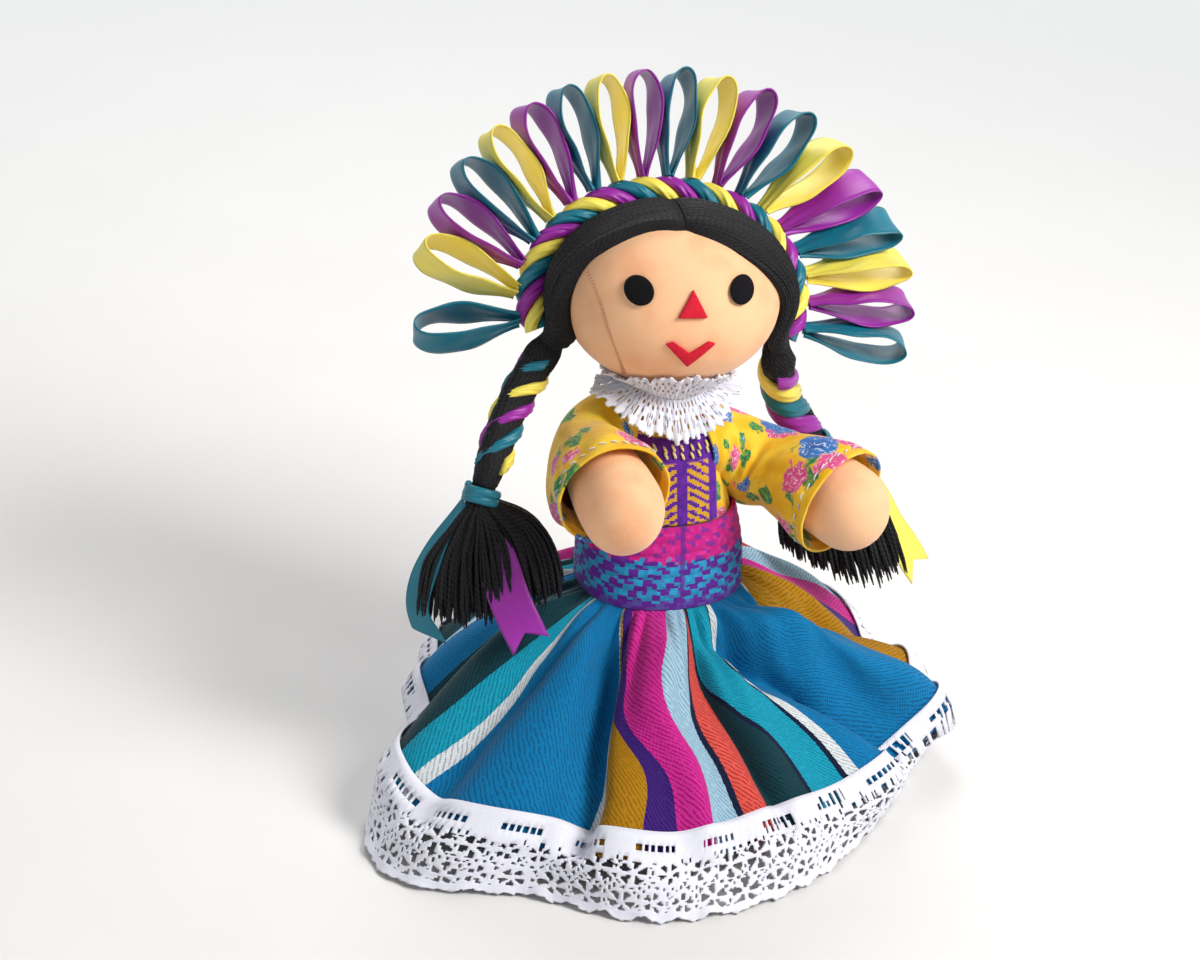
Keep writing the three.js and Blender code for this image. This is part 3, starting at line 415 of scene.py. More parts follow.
def tube(path, side, radius, sides, squash=1.0):
    """Rings round a path: circles in the plane of the side and its normal, times squash."""
    t = along(path)
    s = unit(side - t * (side * t).sum(-1, keepdims=True))
    n = np.cross(t, s)
    r = np.broadcast_to(radius, len(path))[:, None, None]
    return path[:, None] + r * spokes(turns(sides)[None], s[:, None], squash * n[:, None])


def strands(name, paths, radius, sides=5):
    """Yarn strands in one mesh: each path of k points carries rings that narrow at its closed ends."""
    count, k = paths.shape[:2]
    t = unit(np.gradient(paths, axis=1))
    s = unit(np.cross(t, [0.31, 0.77, 0.55]))
    n = np.cross(t, s)
    share = np.linspace(0, 1, k)
    thin = 0.35 + 0.65 * ease(share, 0, 0.06) * ease(1 - share, 0, 0.05)
    r = np.broadcast_to(radius, count)[:, None] * thin[None]
    ring = spokes(turns(sides), s[:, :, None], n[:, :, None])
    verts = paths[:, :, None] + r[..., None, None] * ring
    base, ii, jj = grid_faces(k, sides, wrap_columns=True)
    first = np.arange(count) * k * sides
    faces = (base[None] + first[:, None, None]).reshape(-1, 4)
    steps = np.linalg.norm(np.diff(paths, axis=1), axis=2)
    far = np.concatenate([np.zeros((count, 1)), np.cumsum(steps, 1)], 1)
    u = np.broadcast_to(jj / sides, (count, *jj.shape)) + np.arange(count)[:, None, None] * 3.7
    uv = np.stack([u, far[:, ii]], -1).reshape(-1, 4, 2)
    caps = []
    for row, order in ((0, -1), (k - 1, 1)):
        ends = np.arange(sides)[::order][None] + row * sides + first[:, None]
        caps += [ends[:, [0, q, q + 1, min(q + 2, sides - 1)]] for q in range(1, sides - 1, 2)]
    cap_uv = np.zeros((count * len(caps), 4, 2))
    return make(name, verts, np.concatenate([faces, *caps]), np.concatenate([uv, cap_uv]))


def edited(piece, *steps):
    """Runs bmesh operations on a piece's mesh."""
    shell = bmesh.new()
    shell.from_mesh(piece.data)
    for step in steps:
        step(shell)
    shell.to_mesh(piece.data)
    shell.free()
    return piece


def weld(shell):
    """Joins the points that lie on each other, as at a pole or a seam."""
    bmesh.ops.remove_doubles(shell, verts=shell.verts, dist=1e-7)


def face_out(shell):
    """Turns a closed shell's faces outwards."""
    bmesh.ops.recalc_face_normals(shell, faces=shell.faces)


def closed_strand(name, rings, far, wide=RIBBON_WIDTH):
    """Mesh of a strand's rings, with both ends closed at their middles."""
    count = rings.shape[1]
    start, end = (rings[k].mean(1, keepdims=True).repeat(count, 1) for k in (slice(0, 1), slice(-1, None)))
    points = np.concatenate([start, rings, end])
    distance = np.concatenate([[far[0] - 1], far, [far[-1] + 1]])
    piece = surface(name, points, cloth_uv(np.linspace(0, wide, count + 1), distance), wrap_columns=True)
    return edited(piece, weld, face_out)


def thicken(piece, thickness):
    """Wall of cloth on both sides of the surface."""
    wall = piece.modifiers.new("cloth", "SOLIDIFY")
    wall.thickness = thickness * MM
    wall.offset = 0.0


def place(piece, body, material, slot, *nodes):
    """Puts a finished piece on its body, in place of its nodes."""
    piece.data.materials.append(material)
    if body:
        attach(piece, body)
    if nodes:
        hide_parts(*nodes)


# Materials
def linear(code):
    """Linear colour of a hex code."""
    rgb = np.array([int(code[i:i + 2], 16) for i in (0, 2, 4)]) / 255
    return (*np.where(rgb <= 0.04045, rgb / 12.92, ((rgb + 0.055) / 1.055) ** 2.4), 1.0)


class Finish:
    """Node material of one finish, built by short calls that each give back a socket."""

    def __init__(self, name, roughness=0.8, sheen=0.0, specular=0.5):
        self.material = bpy.data.materials.new(name)
        self.material.use_nodes = True
        self.tree = self.material.node_tree
        self.shader = self.tree.nodes["Principled BSDF"]
        looks = {"Roughness": roughness, "Specular IOR Level": specular, "Sheen Weight": sheen}
        for key, value in {**looks, "Sheen Roughness": 0.4, "Sheen Tint": (1, 1, 1, 1)}.items():
            self.shader.inputs[key].default_value = value

    def add(self, kind, inputs, **settings):
        """Node with its settings; its inputs are sockets, numbers or the hex codes of colours."""
        node = self.tree.nodes.new(kind)
        for key, value in settings.items():
            setattr(node, key, value)
        for key, value in inputs.items():
            if isinstance(value, bpy.types.NodeSocket):
                self.tree.links.new(value, node.inputs[key])
            else:
                node.inputs[key].default_value = linear(value) if isinstance(value, str) else value
        return node

    def math(self, operation, a, b=0.0, c=0.0):
        """Sum on numbers."""
        return self.add("ShaderNodeMath", {0: a, 1: b, 2: c}, operation=operation).outputs[0]

    def plus(self, a, b):
        """Both numbers together."""
        return self.math("ADD", a, b)

    def times(self, a, b, more=0.0):
        """Product of two numbers, and a third on top of it."""
        return self.math("MULTIPLY_ADD", a, b, more)

    def vector(self, operation, inputs):
        """Sum on vectors."""
        return self.add("ShaderNodeVectorMath", inputs, operation=operation).outputs[0]

    def pair(self, x, y):
        """Vector of two numbers."""
        return self.add("ShaderNodeCombineXYZ", {0: x, 1: y}).outputs[0]

    def cloth(self):
        """Millimetres on the cloth: as a vector, across it and along it."""
        uv = self.add("ShaderNodeUVMap", {}, uv_map="cloth").outputs[0]
        split = self.add("ShaderNodeSeparateXYZ", {0: uv})
        return uv, split.outputs[0], split.outputs[1]

    def solid(self):
        """Millimetres in the doll's frame."""
        place_of = self.add("ShaderNodeTexCoord", {}).outputs["Object"]
        return self.vector("SCALE", {0: place_of, "Scale": 1000.0})

    def noise(self, vector, scale, detail=2.0, rough=0.5):
        """Soft noise, mostly from 0.3 to 0.7."""
        inputs = {"Vector": vector, "Scale": scale, "Detail": detail, "Roughness": rough}
        return self.add("ShaderNodeTexNoise", inputs).outputs[0]

    def streaks(self, u, v, across, down, detail):
        """Noise drawn out along the cloth."""
        return self.noise(self.pair(self.times(u, across), self.times(v, down)), 1.0, detail)

    def wave(self, x, pitch):
        """Sine from 0 to 1 with the given pitch in millimetres."""
        return self.times(self.math("SINE", self.times(x, TAU / pitch)), 0.5, 0.5)

    def weave(self, u, v, pitch):
        """Plain weave: threads over and under, as the product of two waves."""
        return self.times(self.wave(u, pitch), self.wave(v, pitch))

    def step(self, x, low, high):
        """Smooth step from 0 at low to 1 at high."""
        inputs = {"Value": x, "From Min": low, "From Max": high}
        return self.add("ShaderNodeMapRange", inputs, interpolation_type="SMOOTHSTEP").outputs[0]

    def mix(self, share, a, b):
        """Colour a where share is 0, and b where it is 1."""
        return self.add("ShaderNodeMix", {0: share, 6: a, 7: b}, data_type="RGBA").outputs[2]

    def spots(self, vector, scale, detail, low, high, a, b):
        """Colour b in the spots of a noise over colour a."""
        return self.mix(self.step(self.noise(vector, scale, detail), low, high), a, b)

    def shade(self, colour, share, amount):
        """Colour made darker where share is 0."""
        dark = self.add("ShaderNodeHueSaturation", {"Value": 1 - amount, "Color": colour}).outputs[0]
        return self.mix(share, dark, colour)

    def finish(self, colour, height, strength, distance, roughness=None):
        """Material with this colour, and a relief of this height in millimetres."""
        inputs = {"Strength": strength, "Distance": distance * MM, "Height": height}
        relief = self.add("ShaderNodeBump", inputs).outputs[0]
        self.tree.links.new(colour, self.shader.inputs["Base Color"])
        self.tree.links.new(relief, self.shader.inputs["Normal"])
        if roughness is not None:
            self.tree.links.new(roughness, self.shader.inputs["Roughness"])
        return self.material


def flesh_cotton():
    """Even cotton over wadding, with fine threads, a soft bloom and faint mottling."""
    f = Finish("flesh_cotton", roughness=0.75, sheen=0.25, specular=0.25)
    _, u, v = f.cloth()
    bloom = f.noise(f.solid(), 0.09, 3.0)
    colour = f.mix(f.step(bloom, 0.35, 0.75), FLESH, FLESH_WARM)
    colour = f.mix(f.times(f.step(bloom, 0.3, 0.7), 0.5), FLESH, colour)
    threads = f.weave(u, v, 0.42)
    colour = f.shade(colour, f.plus(threads, 0.35), 0.09)
    return f.finish(colour, f.times(f.noise(f.solid(), 2.4), 0.5, threads), 0.35, 0.07)


def black_yarn():
    """Spun yarn: slanting plies round each strand, with loose fibres."""
    f = Finish("black_yarn", roughness=0.66, sheen=0.04, specular=0.2)
    _, u, v = f.cloth()
    plies = f.wave(f.times(u, 2.0, f.times(v, 0.7)), 1.0)
    fibre = f.noise(f.solid(), 3.0, 3.0)
    colour = f.mix(f.times(plies, fibre), BLACK_YARN, "2c2c31")
    return f.finish(colour, f.plus(plies, fibre), 0.6, 0.15)


def felt(name, code, pale):
    """Pressed wool: short fibres every way."""
    f = Finish(name, roughness=0.95, sheen=0.08, specular=0.12)
    fibre = f.noise(f.solid(), 3.2, 4.0, 0.7)
    lumps = f.noise(f.solid(), 0.8)
    colour = f.shade(f.mix(f.times(f.step(fibre, 0.45, 0.8), 0.3), code, pale), lumps, 0.3)
    return f.finish(colour, f.plus(fibre, lumps), 0.5, 0.2)


def satin(name, code):
    """Satin ribbon: close shining threads along it, a firm edge, and a painted sheen: streaks across it drawn
    lighter and darker in its colour, which also vary its roughness.
    """
    f = Finish(name, roughness=0.34, specular=0.38)
    _, u, v = f.cloth()
    threads = f.wave(v, 0.33)
    streak = f.streaks(u, v, 1.6, 0.05, 3.0)
    half = RIBBON_WIDTH / 2
    edge = f.math("ABSOLUTE", f.math("SUBTRACT", u, half))
    selvedge = f.step(edge, half - 0.6, half - 0.35)
    # Painted sheen: the streaks across the ribbon make its colour lighter and darker, as a breaking highlight
    # would.
    colour = f.shade(linear(code), f.times(streak, 0.9, 0.35), 0.22)
    colour = f.shade(colour, f.times(selvedge, -0.5, 1.0), 0.3)
    colour = f.shade(colour, f.times(threads, 0.5, 0.5), 0.1)
    height = f.times(threads, 0.6, f.times(f.wave(u, 0.5), 0.25, streak))
    return f.finish(colour, f.times(selvedge, 0.8, height), 0.35, 0.08, f.times(streak, 0.3, 0.2))


def thread(name, code):
    """Stitching thread: two plies."""
    f = Finish(name, roughness=0.5, sheen=0.3, specular=0.4)
    _, u, v = f.cloth()
    plies = f.wave(f.times(u, 2.0, f.times(v, 1.5)), 1.0)
    return f.finish(f.shade(linear(code), plies, 0.3), plies, 0.5, 0.08)


def printed_cotton():
    """Yellow cotton with pink and blue flowers, green leaves and pale highlights in its own loose layout."""
    f = Finish("flowered_cotton", roughness=0.7, sheen=0.2, specular=0.3)
    uv, u, v = f.cloth()
    drift = f.add("ShaderNodeTexNoise", {"Vector": uv, "Scale": 0.35, "Detail": 2.0}).outputs["Color"]
    shift = f.vector("SUBTRACT", {0: drift, 1: (0.5, 0.5, 0.5)})
    bent = f.vector("MULTIPLY_ADD", {0: shift, 1: (5.0, 5.0, 0.0), 2: uv})

    def blots(cell, shifted, low, high, ruffle):
        """Round blots one to a cell, with a ruffled edge, 1 inside; and the distance from their middles."""
        moved = f.vector("ADD", {0: bent, 1: shifted})
        scaled = f.vector("SCALE", {0: moved, "Scale": 1 / cell})
        cells = f.add("ShaderNodeTexVoronoi", {"Vector": scaled, "Scale": 1.0, "Randomness": 0.85})
        far = cells.outputs["Distance"]
        return f.step(f.times(f.noise(moved, 1.1), ruffle, far), high, low), far

    colour = f.spots(uv, 0.16, 3.0, 0.35, 0.7, MARIGOLD, "f9d13a")
    leaves, _ = blots(7.5, (3.0, 1.0, 0.0), 0.42, 0.47, 0.22)
    colour = f.mix(leaves, colour, f.spots(bent, 0.8, 2.0, 0.45, 0.6, LEAF, "7fae4c"))
    pinks, far = blots(11.5, (0.0, 7.0, 0.0), 0.44, 0.48, 0.2)
    pink = f.mix(f.step(far, 0.06, 0.26), "b52566", PETAL_PINK)
    colour = f.mix(pinks, colour, f.spots(bent, 1.3, 2.0, 0.52, 0.62, pink, "f7c9d9"))
    blues, far = blots(14.0, (9.0, 4.0, 0.0), 0.42, 0.46, 0.2)
    blue = f.mix(f.step(far, 0.05, 0.2), "1d4796", PETAL_BLUE)
    colour = f.mix(blues, colour, f.spots(bent, 1.2, 2.0, 0.54, 0.64, blue, "b9d3ea"))
    threads = f.weave(u, v, 0.5)
    return f.finish(f.shade(colour, f.plus(threads, 0.3), 0.12), threads, 0.35, 0.08)


def woven(f, colour, u, v, warp=0.55, weft=0.4, strength=0.5):
    """Coarse weave over a colour: threads lie over and under, and each is a little lighter or darker."""
    relief = f.times(f.wave(f.times(v, warp / weft * 0.5, u), warp), f.wave(v, weft))
    streak = f.times(f.streaks(u, v, 2.2, 0.12, 2.0), 0.6)
    colour = f.shade(colour, f.times(relief, 0.7, streak), 0.3)
    return f.finish(colour, f.plus(relief, streak), strength, 0.16)


def panel_twill():
    """Purple twill with small gold blocks in slanting rows either side of a plain line in the middle."""
    f = Finish("purple_weave", roughness=0.8, sheen=0.15, specular=0.2)
    uv, u, v = f.cloth()
    side = f.math("ABSOLUTE", u)
    step_u, step_v = f.math("SNAP", side, 0.62), f.math("SNAP", v, 0.42)
    column = f.times(f.step(side, 1.2, 1.4), f.step(side, 7.2, 6.8))
    rows = f.wave(f.times(step_u, 0.62, step_v), 2.15)
    broken = f.noise(f.pair(step_u, step_v), 0.62, 1.0)
    figure = f.step(f.times(broken, 1.9, rows), 1.3, 1.4)
    gold = f.times(f.times(column, figure), f.step(v, 81.5, 80.8))
    colour = f.mix(gold, f.spots(uv, 0.5, 2.0, 0.3, 0.7, "54208e", PANEL_PURPLE), PANEL_GOLD)
    return woven(f, colour, u, v)


def belt_weave():
    """Sash: magenta above with purple flecks, blue below with purple steps, a purple line up the middle."""
    f = Finish("belt_weave", roughness=0.8, sheen=0.12, specular=0.2)
    uv, u, v = f.cloth()
    sway = f.times(f.math("SUBTRACT", f.noise(uv, 0.5, 1.0), 0.5), 1.2)
    step_u = f.math("SNAP", f.plus(u, sway), 1.05)
    step_v = f.math("SNAP", f.times(sway, 0.5, v), 0.78)
    cells = f.pair(step_u, step_v)
    ragged = f.times(f.noise(cells, 0.55, 1.0), 3.2, step_v)
    slanting = f.wave(f.times(step_v, 1.6, step_u), 4.3)
    crossed = f.wave(f.times(step_v, -1.1, step_u), 6.1)
    figure = f.plus(slanting, f.times(f.noise(cells, 0.8, 1.0), 0.9, crossed))
    blue = f.spots(cells, 0.8, 1.0, 0.45, 0.55, BELT_BLUE, "2fa6d8")
    blue = f.mix(f.step(figure, 1.42, 1.5), blue, BELT_PURPLE)
    magenta = f.spots(cells, 0.9, 1.0, 0.5, 0.6, BELT_MAGENTA, "e0349c")
    magenta = f.mix(f.step(figure, 1.8, 1.9), magenta, "8a2f9e")
    colour = f.mix(f.step(ragged, 58.6, 58.9), blue, magenta)
    for dark in (f.step(ragged, 48.6, 48.2), f.step(f.math("ABSOLUTE", u), 0.8, 0.5)):
        colour = f.mix(f.times(dark, 0.8), colour, BELT_PURPLE)
    return woven(f, colour, u, v)


def lace_thread():
    """White lace: twisted threads with a faint violet in the shade."""
    f = Finish("white_lace", roughness=0.6, sheen=0.4, specular=0.4)
    _, u, v = f.cloth()
    twist = f.wave(f.plus(u, v), 0.55)
    fibre = f.noise(f.solid(), 1.6, 3.0)
    colour = f.mix(f.times(twist, 0.4, fibre), "d4d6ea", LACE_WHITE)
    return f.finish(colour, f.plus(twist, fibre), 0.5, 0.1)


def striped_weave(stripes, total):
    """Striped cloth: bands of colour across it, with slanting threads darker here and there.

    One colour ramp holds 32 stripes at most, so there are two, for one half of the way round each.
    """
    f = Finish("striped_weave", roughness=0.8, sheen=0.1, specular=0.15)
    uv, u, v = f.cloth()
    ragged = f.times(f.math("SUBTRACT", f.noise(uv, 1.4, 1.0), 0.5), 0.5, u)
    share = f.math("DIVIDE", ragged, total)
    middle = len(stripes) // 2
    halves = []
    for part in (stripes[:middle], stripes[middle:]):
        ramp = f.add("ShaderNodeValToRGB", {0: share})
        band = ramp.color_ramp
        band.interpolation = "CONSTANT"
        for number, (start, code) in enumerate(part):
            stop = band.elements[number] if number < 2 else band.elements.new(start / total)
            stop.position = start / total
            stop.color = linear(code)
        halves.append(ramp.outputs[0])
    colour = f.mix(f.math("GREATER_THAN", share, stripes[middle][0] / total), *halves)
    slant = f.wave(f.times(v, -0.8, f.times(f.noise(uv, 0.35, 1.0), 1.2, u)), 1.15)
    dark = f.add("ShaderNodeHueSaturation", {"Value": 0.55, "Saturation": 1.1, "Color": colour}).outputs[0]
    dashes = f.times(f.step(slant, 0.42, 0.08), f.step(f.noise(uv, 0.9), 0.32, 0.5))
    return woven(f, f.mix(dashes, colour, dark), u, v, 0.62, 0.42, 0.6)


FLESH_COTTON = flesh_cotton()
YARN = black_yarn()
DARK_FELT = felt("black_felt", BLACK_FELT, "3a363c")
BRIGHT_FELT = felt("red_felt", RED_FELT, "ee6a78")
SATINS = {name: satin(name + "_ribbon", code) for name, code in zip(RIBBON_NAMES, (TEAL, YELLOW, PURPLE))}
PRINT = printed_cotton()
TWILL = panel_twill()
BELT = belt_weave()
LACE = lace_thread()
GOLD_THREAD = thread("gold_thread", "f4dd8c")
PALE_THREAD = thread("pale_thread", SILVER)
SEAM_THREAD = thread("seam_thread", STITCH)


# Body, blouse and sash
def body_layer(name, low, high, out, rows, columns, wrinkle):
    """Cloth round the body between two heights; u is the way round from the front, v the height."""
    z = np.linspace(low, high, rows)[:, None]
    angle = (turns(columns) - 1.5 * math.pi)[None]
    points = body_edge(z + 0 * angle, angle + 0 * z, out + wrinkle(z, angle))
    around = (np.arange(columns + 1) / columns - 0.5) * BODY_ROUND
    return surface(name, points, cloth_uv(around, z[:, 0]), wrap_columns=True)


def make_torso():
    """Stuffed body: superellipse sections up to the shoulders, then the round neck into the head."""
    columns = 64
    z = BODY_Z[-1] * np.sin(np.linspace(0, math.pi / 2, 30))[:, None]
    angle = turns(columns)[None]
    body = body_edge(z + 0 * angle, angle + 0 * z, 0)
    ring = NECK_RADIUS * spokes(angle, HEAD_TURNED[:, 0], HEAD_TURNED[:, 1])
    neck_top = NECK + HEAD_AXIS * NECK_IN_HEAD
    neck = mix(body_centre(BODY_Z[-1]), neck_top, np.linspace(0.15, 1, 8)[:, None, None]) + ring
    low = body_centre(np.zeros((1, columns)))
    top = np.broadcast_to(neck_top, (1, columns, 3))
    cap = mix(neck[-1:], top, 0.6) + HEAD_AXIS * 0.15
    points = np.concatenate([low, mix(low, body[:1], 0.7), body, neck, cap, top])
    uv = cloth_uv(np.linspace(0, BODY_ROUND, columns + 1), np.linspace(0, 100, len(points)))
    piece = edited(surface("torso_stuffed", points, uv, wrap_columns=True), weld)
    place(piece, "torso", FLESH_COTTON, "flesh_cotton", "torso")


def drawn_in(z, angle):
    """Small upright creases that fade away from the sash."""
    near = np.exp(-(z - SASH_TOP) / 6)
    return 0.35 * near * np.sin(23 * angle + 2 * np.sin(3 * angle)) * (z > SASH_TOP - 1)


def belted(z, angle):
    """Slight level creases of the sash, deepest at its middle height."""
    height = (SASH_TOP - SASH_BOTTOM) / 2
    inside = 1 - ((z - SASH_BOTTOM - height) / height) ** 2
    return 0.21 * np.sin(2.2 * z + 1.5 * np.sin(2 * angle)) * inside


def make_blouse():
    """Blouse, the woven strip down its front with a few stitches, and the sash."""
    body = body_layer("blouse_cloth", SASH_BOTTOM + 3, BLOUSE_TOP, 0.9, 44, 180, drawn_in)
    thicken(body, BLOUSE_WALL)
    place(body, "torso", PRINT, "flowered_cotton", "blouse_body")

    z = np.linspace(SASH_TOP + CLEAR, PANEL_TOP, 36)[:, None]
    x = np.linspace(-PANEL_HALF, PANEL_HALF, 44)[None]
    panel = surface("panel_cloth", body_front(x, z, 2.05), cloth_uv(x[0], z[:, 0]))
    thicken(panel, PANEL_WALL)
    place(panel, "torso", TWILL, "purple_weave", "front_panel")

    starts = np.array([[a, b] for b in (85.6, 84.0) for a in np.arange(-6.5, 7.5, 2.2)])
    starts = starts + rng.uniform(-0.25, 0.25, starts.shape)
    t = np.linspace(0, 1, 6)[None]
    paths = body_front(starts[:, :1] + 0.65 * t, starts[:, 1:] - 1.7 * t, 2.5)
    paths[..., 1] -= 0.45 * np.sin(math.pi * t)
    place(strands("panel_stitches", paths, PANEL_STITCH, 6), "torso", GOLD_THREAD, "yellow_ribbon")

    sash = body_layer("sash_cloth", SASH_BOTTOM, SASH_TOP, 2.4, 48, 220, belted)
    thicken(sash, SASH_WALL)
    place(sash, "torso", BELT, "belt_weave", "waist_sash")


# Lace
def lace_holes(u, v, width, pitch):
    """Where the lace has thread: a close band, a ladder in groups, open flowers, and a close border below."""
    ladder, net_from, net_to = (2.4, 4.7), 5.8, width - 2.3
    high = 0.8 * pitch
    u = u + 0.1 * np.sin(0.9 * v) + 0.6 * np.sin(u / 17)
    bars = (np.mod(u, 1.8) < 1.2) & (np.mod(u, 17.1) < 10.2) & (v > ladder[0]) & (v < ladder[1])
    row = np.floor((v - net_from) / high)
    shifted = u + 0.43 * pitch * row + 0.9 * np.sin(u / 9 + 2 * row)
    cell = np.floor(shifted / pitch)
    at_u = np.mod(shifted, pitch) - 0.5 * pitch
    at_v = (np.mod(v - net_from, high) - 0.5 * high) * 1.2
    r, way = np.hypot(at_u, at_v), np.arctan2(at_v, at_u)
    leaf = np.cos(5 * way + 2.4 * np.sin(7 * cell + 3 * row))
    petals = (r > 0.9) & (r < 2.9 + 0.5 * np.sin(5 * cell)) & (leaf > -0.05)
    net = (r > 3.6) & (np.mod(u + v, 2.0) > 0.95) & (np.mod(u - v, 2.0) > 0.95)
    open_work = (petals | net) & (v > net_from) & (v < net_to)
    edge = width - 0.1 - 0.7 * (0.5 - 0.5 * np.cos(TAU * u / 9)) - 0.3 * np.cos(u * 1.3) ** 2
    return ~(bars | open_work | (v > edge))


def collar_holes(u, v, reach):
    """Where the collar has thread: a ladder and rings of petals between two scalloped edges."""
    gap = (np.mod(u + 1.5 * np.floor(v / 2.0), 3.0) > 2.0) & (np.mod(v, 2.0) > 0.9)
    gap = gap & (v > 2.0) & (v < reach - 1.6)
    flower = np.hypot(np.mod(u, 8.0) - 4, v - 4.2)
    petals = (flower > 0.8) & (flower < 1.9) & (np.mod(u, 1.1) < 0.6)
    scallop = np.cos(TAU * u / 4)
    cut = (v < 0.4 + 0.4 * scallop) | (v > reach - 0.35 - 0.35 * scallop)
    return ~((gap & (flower > 2.6)) | petals | cut)


def make_collar():
    """Gathered frill: it turns out over the shoulders below, and up to the chin above, in waves."""
    columns, rows = 700, 40
    angle = turns(columns)[None]
    stations = (COLLAR_TOP, COLLAR_LOW, COLLAR_LOW_R)
    top, low, low_r = (through(np.degrees(angle[0]), COLLAR_AZIMUTH, values) for values in stations)
    waist = mix(low, top, 0.5) - 0.3
    waist_r = NECK_RADIUS + 1.9
    share = np.linspace(-1, 1, rows)[:, None]
    far, down, rise = np.abs(share), np.maximum(-share, 0), np.maximum(share, 0)
    r = waist_r + (low_r - waist_r) * down ** 1.25 + (COLLAR_TOP_R - waist_r) * rise ** 1.1
    z = waist + (low - waist) * down ** 1.2 + (top - waist) * rise ** 1.3
    z = z + (0.45 * np.cos(13 * angle + 0.5 * np.sin(3 * angle)) + 0.3 * np.cos(31 * angle + 1.0)) * far
    r = r + 0.35 * np.cos(47 * angle + 1.5 * np.sin(5 * angle)) * (0.3 + 0.7 * far)
    r = r + 0.8 * np.cos(9 * angle + 2) * down ** 2
    points = body_centre(z) + np.stack([r * np.cos(angle), r * np.sin(angle), 0 * r], -1)
    around = np.linspace(0, COLLAR_FULL, columns + 1)
    across = lengths(points[:, columns * 3 // 4])
    uc, vc = np.meshgrid((around[:-1] + around[1:]) / 2, (across[:-1] + across[1:]) / 2)
    reach = across[-1]
    keep = collar_holes(uc, vc, reach)
    piece = surface("collar_frill", points, cloth_uv(around, across), wrap_columns=True, keep=keep)
    thicken(piece, COLLAR_WALL)
    place(piece, "torso", LACE, "white_lace", "collar_lace")


# Skirt
def hem_reach(angle, values):
    """Distance out of an edge in a direction, by a smooth closed curve through the measured ones."""
    first = HEM_AZIMUTH[0]
    degrees_ = np.mod(np.degrees(angle) - first, 360) + first
    xs = np.array([HEM_AZIMUTH[-1] - 360, *HEM_AZIMUTH, first + 360, HEM_AZIMUTH[1] + 360])
    return through(degrees_, xs, np.array([values[-1], *values, values[0], values[1]]))


def skirt_point(angle, s):
    """Skirt from the waist at s = 0 to the cloth's edge at 1 and the lace's at 2.

    It falls by its measured profile, and cosine folds deepen on the way down.
    """
    angle, s = np.broadcast_arrays(np.asarray(angle, float), np.asarray(s, float))
    c, q = np.cos(angle), np.sin(angle)
    waist = body_edge(np.full(s.shape, float(SASH_BOTTOM)), angle, 0.45)
    wave = 0.5 + 0.5 * np.cos(13 * angle + 1.3 * np.sin(2 * angle))
    fold = 4 * wave * ease(s, 0, 0.9) * (1 - ease(s, 1.2, 2))
    cloth, lace = hem_reach(angle, HEM_CLOTH), hem_reach(angle, HEM_LACE)
    edge = np.stack([cloth * c, cloth * q, np.full(s.shape, float(SKIRT_EDGE_Z))], -1)
    low = np.stack([lace * c, lace * q, 0 * s], -1)
    inner = mix(waist, edge, np.clip(s, 0, 1)[..., None])
    inner[..., 2] = mix(SKIRT_EDGE_Z, SASH_BOTTOM, through(np.clip(s, 0, 1), FALL_OUT, FALL_LEFT))
    outer = mix(edge, low, np.clip(s - 1, 0, 1)[..., None])
    lift = np.stack([0.6 * fold * c, 0.6 * fold * q, 0.7 * fold * (1 - ease(s, 1, 2))], -1)
    return np.where((s > 1)[..., None], outer, inner) + lift


def stripe_place(angle, s):
    """Millimetres across the stripes at a place on the skirt: each stripe starts at its own direction."""
    rows = np.stack([through(np.clip(s, 0.05, 0.92), STRIPE_ROWS, edges) for edges in STRIPE_EDGES])
    first = rows[0]
    degrees_ = np.mod(np.degrees(angle) - first, 360) + first
    rows = np.concatenate([rows, first[None] + 360])
    marks = [mark for mark, _ in STRIPE_MARKS] + [CLOTH_ROUND]
    place_of = np.zeros(degrees_.shape)
    for k in range(len(rows) - 1):
        inside = (degrees_ >= rows[k]) & (degrees_ < rows[k + 1])
        share = (degrees_ - rows[k]) / np.maximum(rows[k + 1] - rows[k], 1e-6)
        place_of = np.where(inside, mix(marks[k], marks[k + 1], share), place_of)
    return place_of


def skirt_folded(angle, s):
    """Skirt with the folds of its own, as round ridges and valleys along their ways down; and its normals."""
    angle, s = angle + 0 * s, s + 0 * angle
    base = skirt_point(angle, s)
    step = 0.01
    down = skirt_point(angle, np.minimum(s + step, 2)) - skirt_point(angle, np.maximum(s - step, 0))
    across = skirt_point(angle + step, s) - skirt_point(angle - step, s)
    normal = unit(np.cross(down, across))
    radius = np.hypot(base[..., 0], base[..., 1])
    lift = np.zeros(s.shape)
    for shares, degrees_, width, height in FOLDS_SEEN:
        centre = through(np.clip(s, shares[0], shares[-1]), shares, degrees_)
        off = np.radians(np.mod(np.degrees(angle) - centre + 180, 360) - 180) * radius
        lift = lift + height * bump(off, 0, width) * ease(s, 0.02, 0.3) * (1 - ease(s, 0.75, 1.25))
    fine = 0.5 * np.sin(29 * angle + 2.2 * np.sin(3 * angle)) + 0.35 * np.sin(47 * angle + 1.1)
    lift = lift + fine * ease(s, 0, 0.12) * (1 - ease(s, 0.25, 0.8))
    return base + normal * lift[..., None], normal


